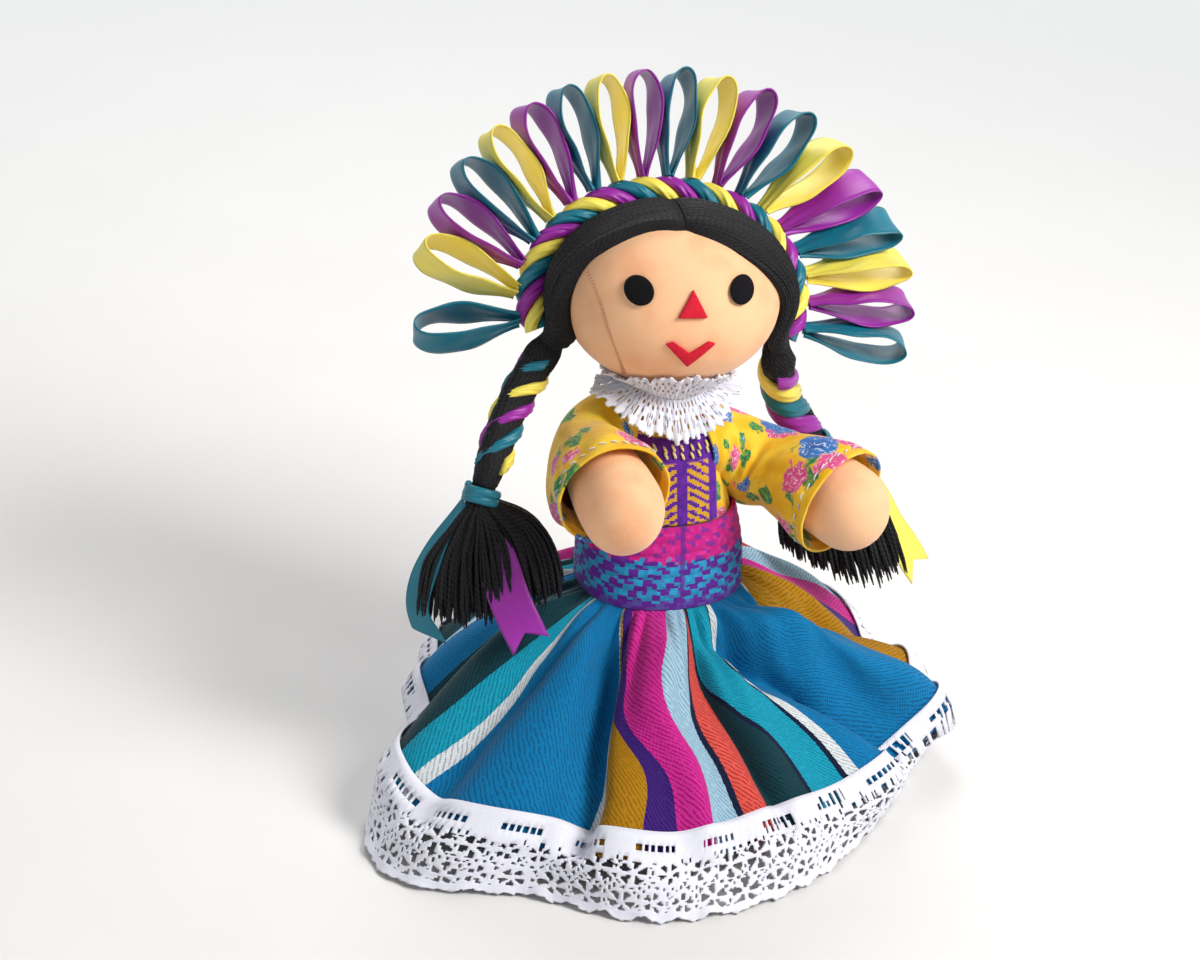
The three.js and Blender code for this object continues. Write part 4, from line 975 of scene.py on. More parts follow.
def make_skirt():
    """Gathered striped cloth from under the sash to its edge above the floor."""
    rows, columns = 78, 600
    angle = (turns(columns) + math.radians(STRIPE_EDGES[0, -1]))[None]
    s = np.linspace(0.0, 1, rows)[:, None]
    points, normal = skirt_folded(angle, s)
    points = points + normal * 0.5
    tuck_z = np.array([SASH_BOTTOM + 2.2, SASH_BOTTOM + 0.8])[:, None]
    tuck = body_edge(tuck_z + 0 * angle, angle + 0 * tuck_z, 0.95)
    points = np.concatenate([tuck, points[1:]])
    s_all = np.concatenate([[0, 0], s[1:, 0]])[:, None]
    wide = np.concatenate([angle[0], [angle[0, 0] + TAU - 1e-6]])[None]
    u = stripe_place(wide + 0 * s_all, s_all + 0 * wide)
    far = np.concatenate([[0], np.cumsum(np.linalg.norm(np.diff(points, axis=0), axis=2).mean(1))])
    uv = np.stack([u, np.broadcast_to(far[:, None], u.shape)], -1)
    skirt = surface("skirt_cloth", points, uv, wrap_columns=True, flip=True)
    thicken(skirt, SKIRT_WALL)
    place(skirt, "torso", striped_weave(STRIPE_MARKS, CLOTH_ROUND), "striped_weave", "skirt")


def make_hem():
    """Lace over the cloth's edge and down to the floor: a ladder of holes, a net of petals and scallops."""
    rows, columns = 50, 980
    angle = turns(columns)[None]
    s = np.linspace(0.9, 2, rows)[:, None]
    points, normal = skirt_folded(angle, s)
    points = points + normal * (1.75 * (1 - ease(s, 1, 2)) + 0.1)[..., None]
    ripple = 0.5 * np.cos(62 * angle) + 0.35 * np.cos(37 * angle + 1)
    points[..., 2] += (np.maximum(ripple, -0.4) + 0.4) * ease(s, 1.5, 2)
    points[..., 2] = np.maximum(points[..., 2], 0.3)
    ring = np.linalg.norm(np.diff(np.concatenate([points, points[:, :1]], 1), axis=1), axis=2)
    around = np.concatenate([[0], np.cumsum(ring[10])])
    steps = np.linalg.norm(np.diff(points, axis=0), axis=2)
    depth = np.concatenate([np.zeros((1, columns)), np.cumsum(steps, 0)])
    full = depth[-1].mean()
    uc, vc = (around[:-1] + around[1:])[None] / 2, (depth[:-1] + depth[1:]) / 2
    keep = lace_holes(0.985 * uc + 0 * vc, vc / depth[-1] * full, full, 7.8)
    wide = np.concatenate([depth, depth[:, :1]], 1)
    uv = np.stack([np.broadcast_to(around, wide.shape), wide], -1)
    hem = surface("hem_lace_net", points, uv, wrap_columns=True, keep=keep, flip=True)
    thicken(hem, HEM_WALL)
    place(hem, "torso", LACE, "white_lace", "hem_lace")


# Arms, hands and legs
def limb_frame(points):
    """Heading, side and upward directions along a limb."""
    heading = along(points)
    side = unit(np.cross(heading, [0, 0, 1.0]))
    return heading, side, np.cross(side, heading)


def limb_surface(name, curve, radius, flat, sides, rows):
    """Stuffed limb: rings of the given radius along a curve, with round ends."""
    t = np.linspace(0, 1, rows)
    centre, r = curve(t), radius(t)
    heading, side, up = limb_frame(centre)
    quarter = np.radians(np.linspace(90, 6, 12))
    back = quarter[::-1]
    first = centre[0] - heading[0] * (r[0] * np.sin(quarter))[:, None]
    last = centre[-1] + heading[-1] * (r[-1] * np.sin(back))[:, None]
    centre = np.concatenate([first, centre, last])
    side, up = (v[np.clip(np.arange(len(centre)) - len(quarter), 0, rows - 1), None] for v in (side, up))
    r = np.maximum(np.concatenate([r[0] * np.cos(quarter), r, r[-1] * np.cos(back)]), 1e-4)
    points = centre[:, None] + r[:, None, None] * spokes(turns(sides)[None], side * flat, up / flat)
    uv = cloth_uv(np.linspace(0, TAU * 9, sides + 1), lengths(centre))
    return edited(surface(name, points, uv, wrap_columns=True, flip=True), weld)


def arm_radius(t):
    """Radius of the arm, which swells to the round hand."""
    return mix(ARM_RADIUS, HAND_RADIUS, ease(t, 0.1, 1))


def sleeve_inside(t):
    """Inner radius of the sleeve on the arm's solid."""
    return arm_radius(t) / 0.95 + CLEAR + 1.6 * ease(t, 0, 1.15)


def arm_curve(side):
    """Arm's middle line, on a curve of three points."""
    data = ARMS[side]
    sign, z, reach = data["sign"], data["height"], np.array(data["reach"])
    centre = body_centre(z)
    out = through(z, BODY_Z, BODY_W) + sleeve_inside(0) + SHOULDER_OUT
    shoulder = np.array([centre[0] + sign * out, centre[1], z])
    hand = shoulder + reach + [0, 0, -HAND_SINK]
    middle = shoulder + 0.45 * reach + [sign * 1.2, 0, data["rise"]]

    def curve(t):
        """Points at shares from 0 at the shoulder to 1 at the hand."""
        t = np.asarray(t)[:, None]
        return (1 - t) ** 2 * shoulder + 2 * t * (1 - t) * middle + t * t * hand

    return curve


def make_arm(side):
    """Arm with a round hand, which starts inside the sleeve, and its sleeve."""
    curve = arm_curve(side)
    arm = limb_surface("arm_stuffed_" + side, lambda t: curve(mix(ARM_FROM, 1, t)),
                       lambda t: arm_radius(mix(ARM_FROM, 1, t)) * mix(0.98, 0.93, t), 0.95, 56, 40)
    place(arm, "arm_" + side, FLESH_COTTON, "flesh_cotton", "arm_" + side)
    make_sleeve(side, curve)


def make_sleeve(side, curve):
    """Loose sleeve that bends round the shoulder into the body, with a cuff and running stitches round it."""
    data = ARMS[side]
    sign, bend, body = data["sign"], data["bend"], "arm_" + side
    sides, bend_rows, rows, start = 160, 44, 52, 0.3
    t = np.linspace(start, data["cuff_at"], rows)
    straight = curve(t)
    heading, across, up = limb_frame(straight)
    across = across * sign * np.sign(across[:1, :1])
    swing = np.radians(np.linspace(100, 0, bend_rows, endpoint=False))
    bent = spokes(swing, across[0], -heading[0])
    path = np.concatenate([straight[0] + bend * (bent - across[0]), straight])
    path[:, 2] -= data["sink"] * bump(np.concatenate([swing, -np.linspace(0, 1, rows)]), 0.45, 0.6)
    outward = np.concatenate([bent, across])
    upward = np.concatenate([np.repeat(up[:1], bend_rows, 0), up])
    share = np.concatenate([np.linspace(-1, 0, bend_rows, endpoint=False), np.linspace(0, 1, rows)])
    radius = sleeve_inside(np.concatenate([np.full(bend_rows, start), t])) + 0.45
    radius = mix(data["start"], radius, ease(share, -1, 0))[:, None]
    a = turns(sides)[None]
    far = lengths(path)
    cuff = far[-1] - far
    puff = 0.45 * np.sin(9 * a + 0.2 * far[:, None] + 1.7 * np.sin(2 * a))
    puff = puff * (bump(cuff, 5.0, 3.5) + 0.5 * bump(cuff, 15, 6))[:, None]
    pinch = -0.3 * bump(cuff, 2.6, 0.7)[:, None]
    crumple = 0.5 * (np.cos(0.9 * far) * bump(share, -0.2, 0.5))[:, None] * np.maximum(-np.cos(a), 0) ** 2
    wide = radius + puff + pinch + crumple
    points = path[:, None] + wide[..., None] * spokes(a, outward[:, None], upward[:, None])
    under = np.maximum(-np.sin(a - 0.7), 0) ** 1.3
    points[..., 2] -= data["hang"] * bump(share, -0.35, 0.5)[:, None] * under
    shift_u, shift_v = data["print_at"]
    uv = cloth_uv(np.linspace(0, 66, sides + 1) + shift_u, far + shift_v)
    sleeve = surface("sleeve_cloth_" + side, points, uv, wrap_columns=True, flip=sign < 0)
    thicken(sleeve, SLEEVE_WALL)
    place(sleeve, None, PRINT, "flowered_cotton", "sleeve_" + side)
    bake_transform(sleeve)

    row = int(np.argmin(np.abs(cuff - 2.8)))
    count, steps = 30, 7
    angles = turns(count)[:, None] + np.linspace(0, 0.62, steps)[None] * TAU / count
    bow = 0.45 + 0.22 * np.sin(np.linspace(0, math.pi, steps))[None]
    level = np.interp(angles, np.append(a, TAU), np.append(wide[row], wide[row, 0])) + bow
    loops = path[row] + level[..., None] * spokes(angles, outward[row], upward[row])
    loops = loops + heading[-1] * (0.25 * np.linspace(-1, 1, steps))[None, :, None]
    place(strands("cuff_stitches_" + side, loops, CUFF_STITCH), body, PALE_THREAD, "white_lace")


def make_leg(side, sign):
    """Stuffed leg, straight forward from the seat under the skirt."""
    z = LEG_RADIUS + CLEAR
    hip = np.array([sign * LEG_X, -(front_depth(LEG_X, z, 0) + 2 * CLEAR + LEG_RADIUS), z])
    ankle = np.array([sign * (LEG_X + 1.5), hip[1] - LEG_LENGTH, ANKLE_RADIUS + CLEAR])
    leg = limb_surface("leg_stuffed_" + side, lambda t: mix(hip, ankle, t[:, None]),
                       lambda t: mix(LEG_RADIUS, ANKLE_RADIUS, t), 1.0, 40, 30)
    place(leg, "leg_" + side, FLESH_COTTON, "flesh_cotton", "leg_" + side)


# Head, face and hair
def make_head():
    """Ball head, a little fuller in the cheeks, with a hollow underneath for the neck; and its seam."""
    rows, columns = 72, 96
    tilt = np.linspace(0, math.pi - 0.36, rows)[:, None]
    angle = turns(columns)[None]
    cheek = 1 + 0.012 * bump(tilt, 1.95, 0.35) * np.maximum(-np.sin(angle), 0)
    c, s = np.cos(angle), np.sin(angle)
    ball = np.stack([np.sin(tilt) * c, np.sin(tilt) * s, np.cos(tilt) + 0 * angle], -1)
    ball = ball * HEAD_HALF * cheek[..., None]
    levels = np.array([(7.9, -19.3), (7.5, -18.6), (7.4, -17.6), (7.3, -16.9), (4.0, -16.6), (0, -16.6)])
    r, z = levels[:, :1], levels[:, 1:]
    points = np.concatenate([ball, np.stack([r * c, r * s, z + 0 * angle], -1)])
    uv = cloth_uv(np.linspace(0, 150, columns + 1), np.linspace(0, 70, len(points)))
    piece = edited(surface("head_stuffed", in_head(points), uv, wrap_columns=True, flip=True), weld)
    place(piece, "head", FLESH_COTTON, "flesh_cotton", "head")

    seam = np.array([(-22.1, 8.8), (-19.9, 2.6), (-18.0, -3.4), (-15.9, -8.3), (-12.7, -15.3)])
    line = through(np.linspace(0, 1, 46), [0, 0.27, 0.52, 0.73, 1], seam)
    t = np.linspace(-1, 1, 7)[None]
    half = HEAD_HALF * 1.004 + (0.02 + 0.1 * (1 - t ** 2))[..., None]
    paths = on_face(line[:, :1] + 0.3 * t, line[:, 1:] + 0.34 * t, half)
    place(strands("cheek_seam", paths, CHEEK_STITCH), "head", SEAM_THREAD, "flesh_cotton")


def felt_patch(name, outline, middle, material, slot, node):
    """Cut felt on the face: rings from its middle to its outline, with a rounded edge and a slight dome."""
    dome = np.linspace(0, 0.97, 9)
    share = np.concatenate([dome, [0.99, 1.0, 1.0, 0.985, 0.5, 0]])
    height = np.concatenate([0.85 - 0.16 * dome ** 4, [0.6, 0.42, 0.18, 0.06, 0.02, 0.02]])
    spot = middle + share[:, None, None] * (outline - middle)[None]
    points = on_face(spot[..., 0], spot[..., 1], HEAD_HALF * 1.006 + 0.1 + height[:, None, None])
    uv = cloth_uv(np.linspace(0, 20, len(outline) + 1), np.linspace(0, 6, len(share)))
    piece = edited(surface(name, points, uv, wrap_columns=True, flip=True), weld)
    place(piece, "head", material, slot, node)


def round_corners(corners, per_side, radius):
    """Outline through straight sides with small round corners."""
    corners = np.asarray(corners, float)
    after, before = np.roll(corners, -1, 0), np.roll(corners, 1, 0)
    cut_out = corners + unit(after - corners) * radius
    cut_in = corners + unit(before - corners) * radius
    t = np.linspace(0, 1, 5)[:, None]
    s = np.linspace(0, 1, per_side + 2)[1:-1, None]
    parts = []
    for k, corner in enumerate(corners):
        parts.append((1 - t) ** 2 * cut_in[k] + 2 * t * (1 - t) * corner + t * t * cut_out[k])
        parts.append(mix(cut_out[k], cut_in[(k + 1) % len(corners)], s))
    return np.concatenate(parts)


def make_face():
    """Felt eyes, nose and mouth."""
    wide, high = EYE_HALF
    for side, sign in (("right", -1), ("left", 1)):
        level = math.sqrt(1 - (EYE_HEIGHT / HEAD_HALF[2]) ** 2)
        x = sign * HEAD_HALF[1] * level * math.sin(math.radians(EYE_SIDEWAYS))
        squeeze = math.sqrt(1 - (x / HEAD_HALF[0]) ** 2)
        middle = np.array([x, EYE_HEIGHT])
        outline = middle + spokes(turns(48), np.array([wide * squeeze, 0]), np.array([0, high]))
        felt_patch("eye_felt_" + side, outline, middle, DARK_FELT, "black_felt", "eye_" + side)
    nose = round_corners([(-3.5, 1.4), (3.5, 1.4), (0, 7.8)], 10, 0.35)
    felt_patch("nose_felt", nose, np.array([0, 3.5]), BRIGHT_FELT, "red_felt", "nose")
    lips = [(0, -11.2), (5.9, -5.0), (4.13, -4.3), (0, -7.3), (-4.13, -4.3), (-5.9, -5.0)]
    mouth = round_corners(lips, 8, 0.25)
    felt_patch("mouth_felt", mouth, np.array([0, -9.0]), BRIGHT_FELT, "red_felt", "mouth")


def hair_paths(sign, shares, points, out):
    """Strands combed from the parting to the ear: guide lines, read across by share and along by length.

    Towards the face the layer thins down to the skin, and at the ear it swells out to the plait.
    """
    t = np.linspace(0, 1, points)
    gather = ease(t, 0.8, 1)
    guides = np.stack([spline(guide, t) for guide in (HAIR_EDGES[sign], *HAIR_GUIDES)])
    paths = through(shares, np.linspace(0, 1, len(guides)), guides.reshape(len(guides), -1))
    paths = paths.reshape(len(shares), points, 3)
    paths[..., 2] = np.maximum(paths[..., 2], HAIR_ENDS[sign][2] + 1.2)
    edge = -2.5 * np.exp(-(shares[:, None] / 0.05) ** 1.5)
    ray = unit(paths)
    far = 1 / np.linalg.norm(ray / (HEAD_HALF + HAIR_OUT), axis=-1)
    lifted = ray * (far + out + edge + 3.2 * gather[None])[..., None]
    swing = np.radians(mix(-110, 130, shares))
    ring = spokes(swing, np.array([1.0, 0, 0]), np.array([0, 1.0, 0]))
    ends = np.array(HAIR_ENDS[sign]) + (2.9 + 0.5 * out)[..., None] * ring[:, None]
    return in_head(mix(lifted, ends, gather[None, :, None]) * [sign, 1, 1])


def join(name, pieces):
    """One piece out of several."""
    shell = bmesh.new()
    for piece in pieces:
        shell.from_mesh(piece.data)
        bpy.data.meshes.remove(piece.data)
    weld(shell)
    mesh = bpy.data.meshes.new(name)
    shell.to_mesh(mesh)
    shell.free()
    return link(name, mesh)


def make_hair():
    """Cap of yarn under combed strands, which run from the middle parting down both sides of the face."""
    rows, columns = 46, 60
    shares = np.linspace(0, 1, rows)
    caps = []
    for sign in (-1, 1):
        level = np.ones((rows, columns))
        outer, inner = (hair_paths(sign, shares, columns, out * level) for out in (-0.5, -1.6))
        points = np.concatenate([outer, inner[::-1], outer[:1]])
        uv = cloth_uv(np.linspace(0, 60, columns), np.linspace(0, 110, len(points)))
        caps.append(surface(f"cap{sign}", points, uv, flip=sign > 0))
    place(join("hair_cap", caps), "head", YARN, "black_yarn", "hair")

    count, points = 150, 24
    t = np.linspace(0, 1, points)[None]
    layers = []
    for sign in (-1, 1):
        for layer in (0, 1):
            shares = (np.arange(count) + 0.5 * layer) / count
            shares = np.clip(shares + rng.uniform(-0.3, 0.3, count) / count, 0.001, 0.999)
            pace, phase = rng.uniform(0.8, 2, (count, 1)), rng.uniform(0, 1, (count, 1))
            wander = 0.16 * np.sin(TAU * (t * pace + phase))
            out = -0.5 + 0.42 * layer + wander * np.sin(math.pi * t) + rng.uniform(-0.08, 0.08, (count, 1))
            layers.append(hair_paths(sign, shares, points, out - 0.55 * np.exp(-t / 0.03)))
    place(strands("hair_strands", np.concatenate(layers), HAIR_YARN), "head", YARN, "black_yarn")


# Headband
def place_satin(piece, body, name, node):
    """Puts a ribbon of one of the three colours on its body, in place of its node."""
    place(piece, body, SATINS[name], name + "_ribbon", node)


X_AXIS, BAND_BACKWARD, BAND_UP = turn("X", -BAND_LEAN).T
BAND_PLANE = np.stack([X_AXIS, BAND_UP])


def band_ellipse():
    """The band's ellipse in its leaning plane, as many points and their distance along it."""
    half = HEAD_HALF + HAIR_OUT
    reach = math.hypot(half[1] * BAND_BACKWARD[1], half[2] * BAND_BACKWARD[2])
    share = math.sqrt(1 - (BAND_BACK / reach) ** 2)
    wide = half[0] * share + BAND_SEAT + ROPE_RADIUS
    high = half[1] * half[2] / reach * share + BAND_SEAT + ROPE_RADIUS
    a = np.radians(np.linspace(BAND_FROM, BAND_TO, 1200))
    flat = np.stack([wide * np.cos(a), high * np.sin(a)], -1)
    return flat, lengths(flat)


BAND_FLAT, BAND_FAR = band_ellipse()
BAND_LENGTH = BAND_FAR[-1]


def band_at(share):
    """Point, direction and outward direction of the band at shares of its length, in the head's frame."""
    far = np.asarray(share) * BAND_LENGTH
    heading = unit(sample(far, BAND_FAR, np.gradient(BAND_FLAT, axis=0)) @ BAND_PLANE)
    point = sample(far, BAND_FAR, BAND_FLAT) @ BAND_PLANE + BAND_BACK * BAND_BACKWARD
    return point, heading, np.cross(BAND_BACKWARD, heading)


def rope_strand(centre, out_dir, wound, radius, phase):
    """One ribbon of a rope of three: a rounded sector of the rope's section, creased along its length."""
    wound = wound[:, None]
    arc = np.radians(np.linspace(-57, 57, 18))[None]
    round_ = 0.62 + 0.38 * np.cos(arc * 90 / 57.5) ** 0.7
    crease = 0.045 * np.cos(arc * 7 + phase + 0.8 * np.sin(wound)) + 0.03 * np.cos(arc * 13 + 2.3 * wound)
    outer = radius * (round_ + crease * np.cos(arc * 1.5))
    inner = np.broadcast_to(radius * np.array([0.3, 0.12, 0.3]), (len(wound), 3))
    angle = wound + np.append(arc[0], np.radians([50.0, 0, -50.0]))[None]
    return centre + np.concatenate([outer, inner], 1)[..., None] * spokes(angle, out_dir, BAND_BACKWARD)


def make_rope():
    """Three satin ribbons twisted into a rope that lies on the hair from ear to ear."""
    share = np.linspace(0, 1, 420)
    point, _, outward = band_at(share)
    point, outward = (point + outward * 0.3)[:, None], outward[:, None]
    swell = 1 + 0.12 * ease(share, 0.72, 0.95) - 0.25 * (bump(share, 0, 0.02) + bump(share, 1, 0.02))
    for number, name in enumerate(RIBBON_NAMES):
        wound = TAU * (ROPE_TURNS * share + number / 3)
        rings = rope_strand(point, outward, wound, 3.35, number * 2.0)
        rings = point + (rings - point) * swell[:, None, None]
        piece = closed_strand("headband_satin_" + name, in_head(rings), share * BAND_LENGTH * 1.4)
        place_satin(piece, "head", name, "headband_ribbon_" + name)


def make_loops():
    """Ribbon loops like rays: each goes out and back on a pointed oval, with a narrow foot at the rope."""
    a = np.linspace(0, math.pi, 64)
    out = LOOP_LENGTH * np.sin(a) ** 2
    near = np.exp(-out / 5.0)[:, None]
    half = mix(LOOP_FOOT, RIBBON_WIDTH, ease(out / LOOP_LENGTH, 0, 0.5))[:, None] / 2
    c = np.linspace(-1, 1, 9)[None]
    margin = LOOP_MARGIN / BAND_LENGTH
    count = len(LOOPS)
    for k, (direction, twist, opening) in enumerate(LOOPS):
        point, _, outward = band_at(mix(margin, 1 - margin, k / (count - 1)))
        foot = point + outward * (ROPE_RADIUS + CLEAR)
        ray = spokes(math.radians(direction), X_AXIS, BAND_UP)
        open_ = spokes(math.radians(twist), np.cross(BAND_BACKWARD, ray), BAND_BACKWARD)
        side = 0.685 * opening * np.sin(2 * a) * np.sin(a) ** 1.2 + 0.55 * np.cos(a)
        path = in_head(foot + (out + 0.5)[:, None] * ray + side[:, None] * open_)
        heading = along(path)
        face = unit(np.cross(heading, HEAD_TURNED @ np.cross(ray, open_)))
        far = lengths(path)
        v = far[:, None]
        sway, crease = rng.uniform(0, TAU, 3), rng.uniform(0.7, 1.2)
        pleat = 0.6 * crease * near * np.cos(2.2 * math.pi * c + sway[0])
        soft = 0.28 * np.sin(0.33 * v + sway[1]) * c + 0.22 * np.cos(0.5 * v + 2 * c + sway[2])
        lift = pleat + soft * (1 - near) * np.sqrt(np.clip(np.sin(math.pi * v / far[-1]), 0, 1))
        points = path[:, None] + (half * c)[..., None] * np.cross(face, heading)[:, None]
        points = points + lift[..., None] * face[:, None]
        name, number = RIBBON_NAMES[(count - 1 - k) % 3], f"{count - k:02d}"
        piece = surface("satin_loop_" + number, points, cloth_uv((c[0] + 1) * RIBBON_WIDTH / 2, far))
        thicken(piece, SATIN_WALL)
        place_satin(piece, "head", name, "ribbon_loop_" + number)


# Plaits
def side_and_front(heading):
    """Two directions square to a heading, the first level with the front."""
    side = unit(np.cross([0, 1.0, 0], heading))
    return side, np.cross(heading, side)


def make_plait(side):
    """Yarn plait wound with the three ribbons, its tie, its tassel and the ribbons' tails."""
    data = PLAITS[side]
    sign, body = data["sign"], "plait_" + side
    steps, past = 104, 14
    point, heading, outward = band_at(0.0 if sign > 0 else 1.0)
    anchor = in_head(point - sign * heading * (2 * CLEAR + 0.5 + PLAIT_RADIUS) + outward * 0.9)
    core = spline(anchor + np.array(data["route"], float), np.linspace(0, 1, steps - past))
    on = np.linspace(0, 1, past + 1)[1:, None]
    core = np.concatenate([core, core[-1] + on * (PLAIT_RADIUS + 1.2) * unit(core[-1] - core[-2])])
    far = lengths(core)
    t = far / far[-past - 1]
    heading = along(core)
    left, front = side_and_front(heading)

    count = 54
    winds = data["hand"] * TAU * far[None] / PLAIT_PITCH
    start = turns(count)[:, None]
    reach = PLAIT_RADIUS - 1.35 + 0.4 * np.cos(3 * (winds + start)) + rng.uniform(-0.12, 0.12, (count, 1))
    taper = mix(0.4, 1.0, ease(t, 0, 0.12)) * mix(1.0, 0.72, ease(t, 0.9, t[-1]))
    paths = core[None] + (reach * taper)[..., None] * spokes(winds * 0.9 + start, left, front)
    yarn = strands("plait_yarn_" + side, paths[:, ::2], PLAIT_YARN)
    solid = tube(core, left, (PLAIT_RADIUS - 1.6) * taper, 32)
    inner = closed_strand("plait_core_" + side, solid, np.linspace(0, 40, steps + 2)[1:-1], 30)
    place(inner, body, YARN, "black_yarn", "plait_" + side)
    place(yarn, body, YARN, "black_yarn")

    inside = in_head(np.array([[26.6, 1.0, -8.0], HAIR_ENDS[sign]]) * [sign, 1, 1])
    down, count = heading[0], 44
    root_t = np.linspace(0, 1, 12)
    root = spline(np.array([*inside, anchor, anchor + 3.4 * down]), root_t)
    wide = through(root_t, [0, 0.45, 0.75, 1], [1.6, 3.3, 3.7, 3.5])[None]
    wide = wide + rng.uniform(-0.15, 0.15, (count, 1))
    rings = spokes(turns(count)[:, None], left[0], front[0])
    tuft = strands("plait_root_" + side, root[None] + wide[..., None] * rings, ROOT_YARN)
    place(tuft, None, YARN, "black_yarn")
    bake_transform(tuft)

    span = (t > data["first"]) & (t < 0.985)
    heads = np.linspace(-1, 1, 15)[None]
    dome = np.sqrt(np.maximum(1 - heads ** 2, 0))
    base = PLAIT_RADIUS - data["sunk"]
    for name, begin in zip(RIBBON_NAMES, data["starts"]):
        wound = (data["hand"] * TAU * (far / PLAIT_PITCH + begin))[:, None]
        shown = 0.5 + 0.5 * np.cos(wound - data["outer"])
        level = base + ((0.35 + 1.25 * shown) + 0.12 * np.cos(heads * 9 + 3 * wound)) * dome
        band = heads * data["half_band"] * mix(0.55, 1.0, shown)
        level = np.concatenate([level, np.full((steps, 13), base - 0.5)], 1)
        band = np.concatenate([band, band[:, -2:0:-1]], 1)
        rings = core[:, None] + level[..., None] * spokes(wound, left[:, None], front[:, None])
        rings = (rings + band[..., None] * heading[:, None])[span]
        piece = closed_strand(f"plait_satin_{name}_{side}", rings, far[span] * 1.9)
        place_satin(piece, body, name, f"plait_ribbon_{name}_{side}")

    down = heading[-1]
    top = core[-past - 1] + down * (PLAIT_RADIUS + CLEAR)
    end = top + down * (TIE_HEIGHT + CLEAR)
    axis = np.array([end, *(top + np.array(data["tassel"], float))])
    make_tie(side, top, end, down)
    make_tassel(side, top, end, down, axis)
    for name, points in data["tails"].items():
        make_tail(side, name, top + np.array(points, float), axis)


def make_tie(side, top, end, down):
    """Teal ribbon wound three times round the plait's end."""
    steps = 150
    a = np.linspace(0, 3.2 * TAU, steps)
    drop = np.linspace(0.1, 0.9, steps) * np.linalg.norm(end - top)
    radius = 3.75 + 0.25 * np.sin(a * 0.5)
    path = top + drop[:, None] * down + radius[:, None] * spokes(a, *side_and_front(down))
    rings = tube(path, np.broadcast_to(down, path.shape), 1.0, 12, 0.62)
    piece = closed_strand("tie_satin_" + side, rings, lengths(path))
    place_satin(piece, "plait_" + side, "teal", "tie_" + side)


def make_tassel(side, top, end, down, axis):
    """Loose yarn ends: strands fan out from the tie to a flat, wide brush with a ragged edge."""
    data = PLAITS[side]
    count = 340
    t = np.linspace(0, 1, 16)
    middle = spline(axis, t)
    wide, deep = side_and_front(along(middle))
    r = np.sqrt(rng.uniform(0, 1, count))
    a = rng.uniform(0, TAU, count)
    x, y = (r * np.cos(a))[:, None], (r * np.sin(a))[:, None]
    reach = np.sin(math.pi / 2 * t) ** 0.85
    cut = rng.uniform(0.86, 1.0, (count, 1)) * (1 - 0.08 * x ** 2) * (1 - data["slant"] * (1 + x) / 2)
    at = cut * t[None]
    half_w = sample(at, t, mix(TASSEL_NECK - 0.3, data["half"] - 0.6, reach))
    half_d = sample(at, t, mix(TASSEL_NECK - 0.3, TASSEL_DEPTH - 0.6, reach))
    curl = 0.45 * np.sin(TAU * (at * rng.uniform(0.5, 1.3, (count, 1)) + rng.uniform(0, 1, (count, 1)))) * at
    paths = sample(at, t, middle) + (x * half_w + curl)[..., None] * sample(at, t, wide)
    paths = paths + (y * half_d + curl * 0.7)[..., None] * sample(at, t, deep)
    u, v = side_and_front(down)
    start = top + 0.3 * (end - top) + (x * u + y * v) * (TASSEL_NECK - 0.5)
    paths = np.concatenate([start[:, None], paths], 1)
    piece = strands("tassel_yarn_" + side, paths, rng.uniform(*TASSEL_YARN, count))
    place(piece, "plait_" + side, YARN, "black_yarn", "tassel_" + side)


def make_tail(side, name, points, axis):
    """Free ribbon end that hangs from the tie before the tassel, with its cut end pointed or notched."""
    folded = name == "teal"
    t = np.linspace(0, 1, 60)
    path = spline(points, t)
    facing = unit(0.6 * unit(path - spline(axis, t)) + [-0.3, -0.8, 0.5])
    across = unit(np.cross(along(path), facing))
    half = mix(TAIL_WIDTH * 0.5, TAIL_WIDTH + 0.8, ease(t, 0, 0.5)) / (3.2 if folded else 2)
    full = lengths(path)[-1]
    c = np.linspace(-1, 1, 11)[None]
    notch = 7.0 * (0.5 + 0.5 * c) if folded else 3.6 * (1 - np.abs(c))
    at = t[:, None] * (full - notch * ease(t, 0.3, 1)[:, None]) / full
    far = at * full
    ripple = 0.35 * np.sin(0.35 * far + 1.2) * c + 0.5 * np.cos(math.pi * c) * np.exp(-far / 5)
    points = sample(at, t, path) + (sample(at, t, half) * c)[..., None] * sample(at, t, across)
    points = points + ripple[..., None] * sample(at, t, facing)
    uv = np.stack([np.broadcast_to((c + 1) * RIBBON_WIDTH / 2, at.shape), far], -1)
    piece = surface(f"tail_satin_{name}_{side}", points, uv)
    thicken(piece, SATIN_WALL)
    place_satin(piece, "plait_" + side, name, f"ribbon_tail_{name}_{side}")


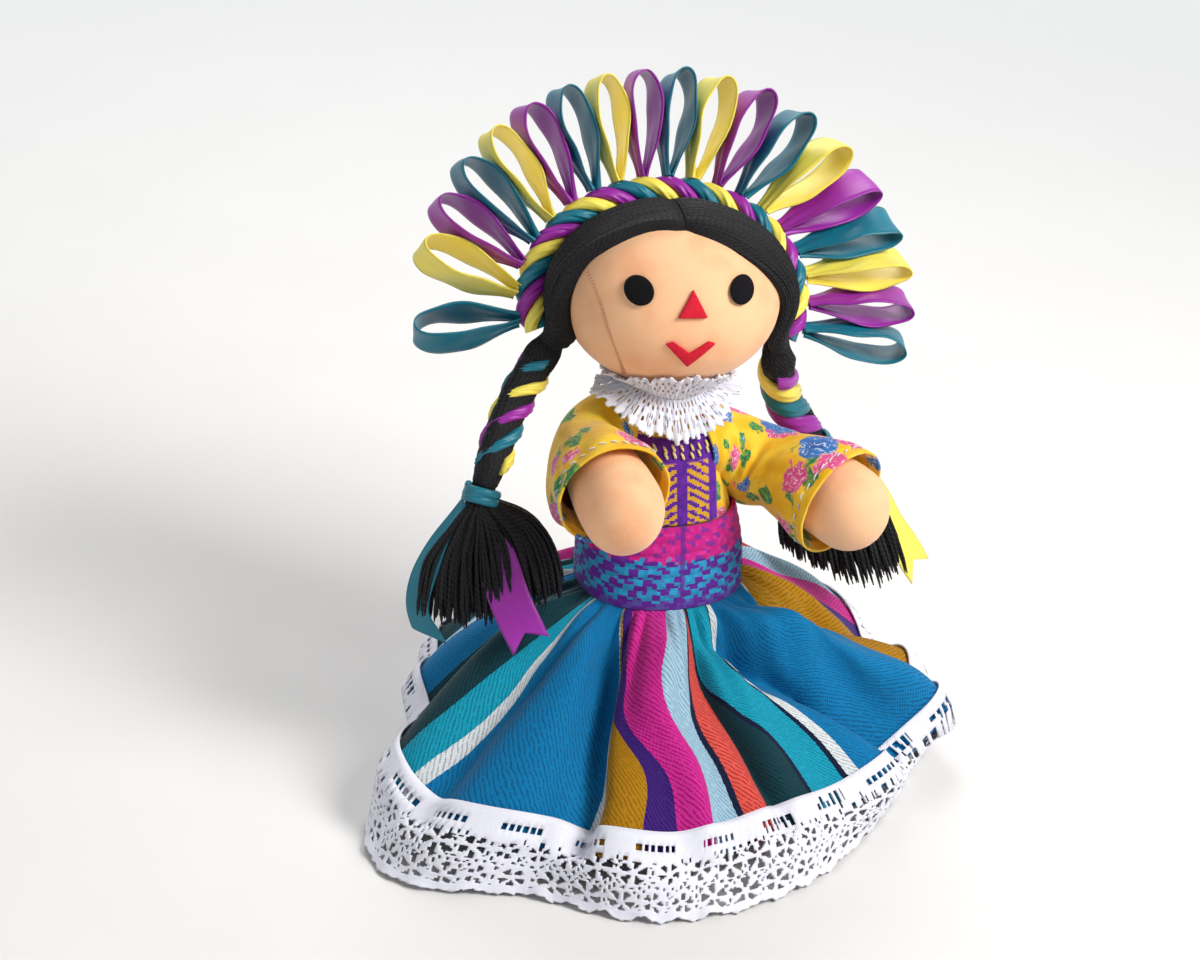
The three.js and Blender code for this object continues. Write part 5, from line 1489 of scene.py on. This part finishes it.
# Stage
def make_stage():
    """Pale round floor that turns up into a wall all round, which looks like even paper far from the doll."""
    bend, sides = 900, 96
    a = np.linspace(0, math.pi / 2, 24)
    r = np.concatenate([[0.5, 300, 900], 1700 + bend * np.sin(a), [1701 + bend]])[:, None]
    z = np.concatenate([[0, 0, 0], bend * (1 - np.cos(a)), [3400]])[:, None] - 0.05
    swing = turns(sides)[None]
    points = np.stack([r * np.cos(swing), r * np.sin(swing), z + 0 * swing], -1)
    uv = cloth_uv(np.arange(sides + 1), np.arange(len(r)))
    piece = surface("floor_and_backdrop", points, uv, wrap_columns=True)
    f = Finish("pale_paper", roughness=0.9, specular=0.2)
    colour = f.mix(f.noise(f.solid(), 0.02), "dcdbda", "e2e1e0")
    f.tree.links.new(colour, f.shader.inputs["Base Color"])
    rays = f.add("ShaderNodeLightPath", {}).outputs
    seen = f.math("MAXIMUM", rays["Is Camera Ray"], rays["Is Glossy Ray"])
    seen = f.math("MAXIMUM", seen, rays["Is Transmission Ray"])
    x, y, _ = f.add("ShaderNodeSeparateXYZ", {0: f.solid()}).outputs
    away = f.step(f.math("SQRT", f.times(x, x, f.times(y, y))), 180.0, 700.0)
    paper = f.add("ShaderNodeEmission", {"Color": "eef0f0", "Strength": 1.0}).outputs[0]
    blend = f.add("ShaderNodeMixShader", {0: f.times(seen, away), 1: f.shader.outputs[0], 2: paper})
    f.tree.links.new(blend.outputs[0], f.tree.nodes["Material Output"].inputs[0])
    piece.data.materials.append(f.material)


def stand(name, data, spot, back, right):
    """Lamp or camera at a place in millimetres, with its back and right directions."""
    matrix = np.eye(4)
    matrix[:3, :3] = np.stack([right, np.cross(back, right), back], 1)
    matrix[:3, 3] = spot * MM
    thing = link(name, data)
    thing.matrix_world = Matrix([list(map(float, row)) for row in matrix])
    return thing


def lamp(name, spot, target_z, size, power, tint):
    """Soft square lamp that looks at a point over the seat; places in millimetres."""
    data = bpy.data.lights.new(name, "AREA")
    data.size, data.energy, data.color = size * MM, power, tint
    spot = np.array(spot, float)
    back = unit(spot - [0, 0, target_z])
    stand(name, data, spot, back, unit(np.cross([0.0, 0.01, 1.0], back)))


def make_light():
    """Window on the picture's right, the room, a lamp from behind, and a pale world."""
    lamp("window", (430, -430, 620), 80, 360, 7.8, (1.0, 0.98, 0.95))
    lamp("room", (-620, -380, 380), 80, 620, 1.2, (0.97, 0.98, 1.0))
    lamp("from_behind", (60, 520, 620), 90, 500, 4.0, (1.0, 1.0, 1.0))
    world = bpy.data.worlds.new("room")
    world.use_nodes = True
    bpy.context.scene.world = world
    background = world.node_tree.nodes["Background"]
    background.inputs[0].default_value = linear("eceff2")
    background.inputs[1].default_value = 0.34


def make_camera():
    """Camera at the photograph's angle: 20 degrees to the doll's right, 28 above, rolled 4 degrees."""
    target, spot = np.array([-15.67, 5.72, 70.03]), np.array([-245.18, -624.85, 426.83])
    back = unit(spot - target)
    level = unit(np.cross([0, 0, 1.0], back))
    right = spokes(math.radians(4), level, np.cross(back, level))
    data = bpy.data.cameras.new("view")
    data.sensor_width, data.lens = 36, 95.46
    data.clip_start, data.clip_end = 0.05, 20
    bpy.context.scene.camera = stand("view", data, spot, back, right)


make_camera()
make_stage()
make_light()
make_torso()
make_blouse()
make_collar()
make_skirt()
make_hem()
make_arm("right")
make_arm("left")
make_leg("right", -1)
make_leg("left", 1)
make_head()
make_face()
make_hair()
make_rope()
make_loops()
make_plait("right")
make_plait("left")

bpy.context.scene.view_settings.view_transform = "Standard"
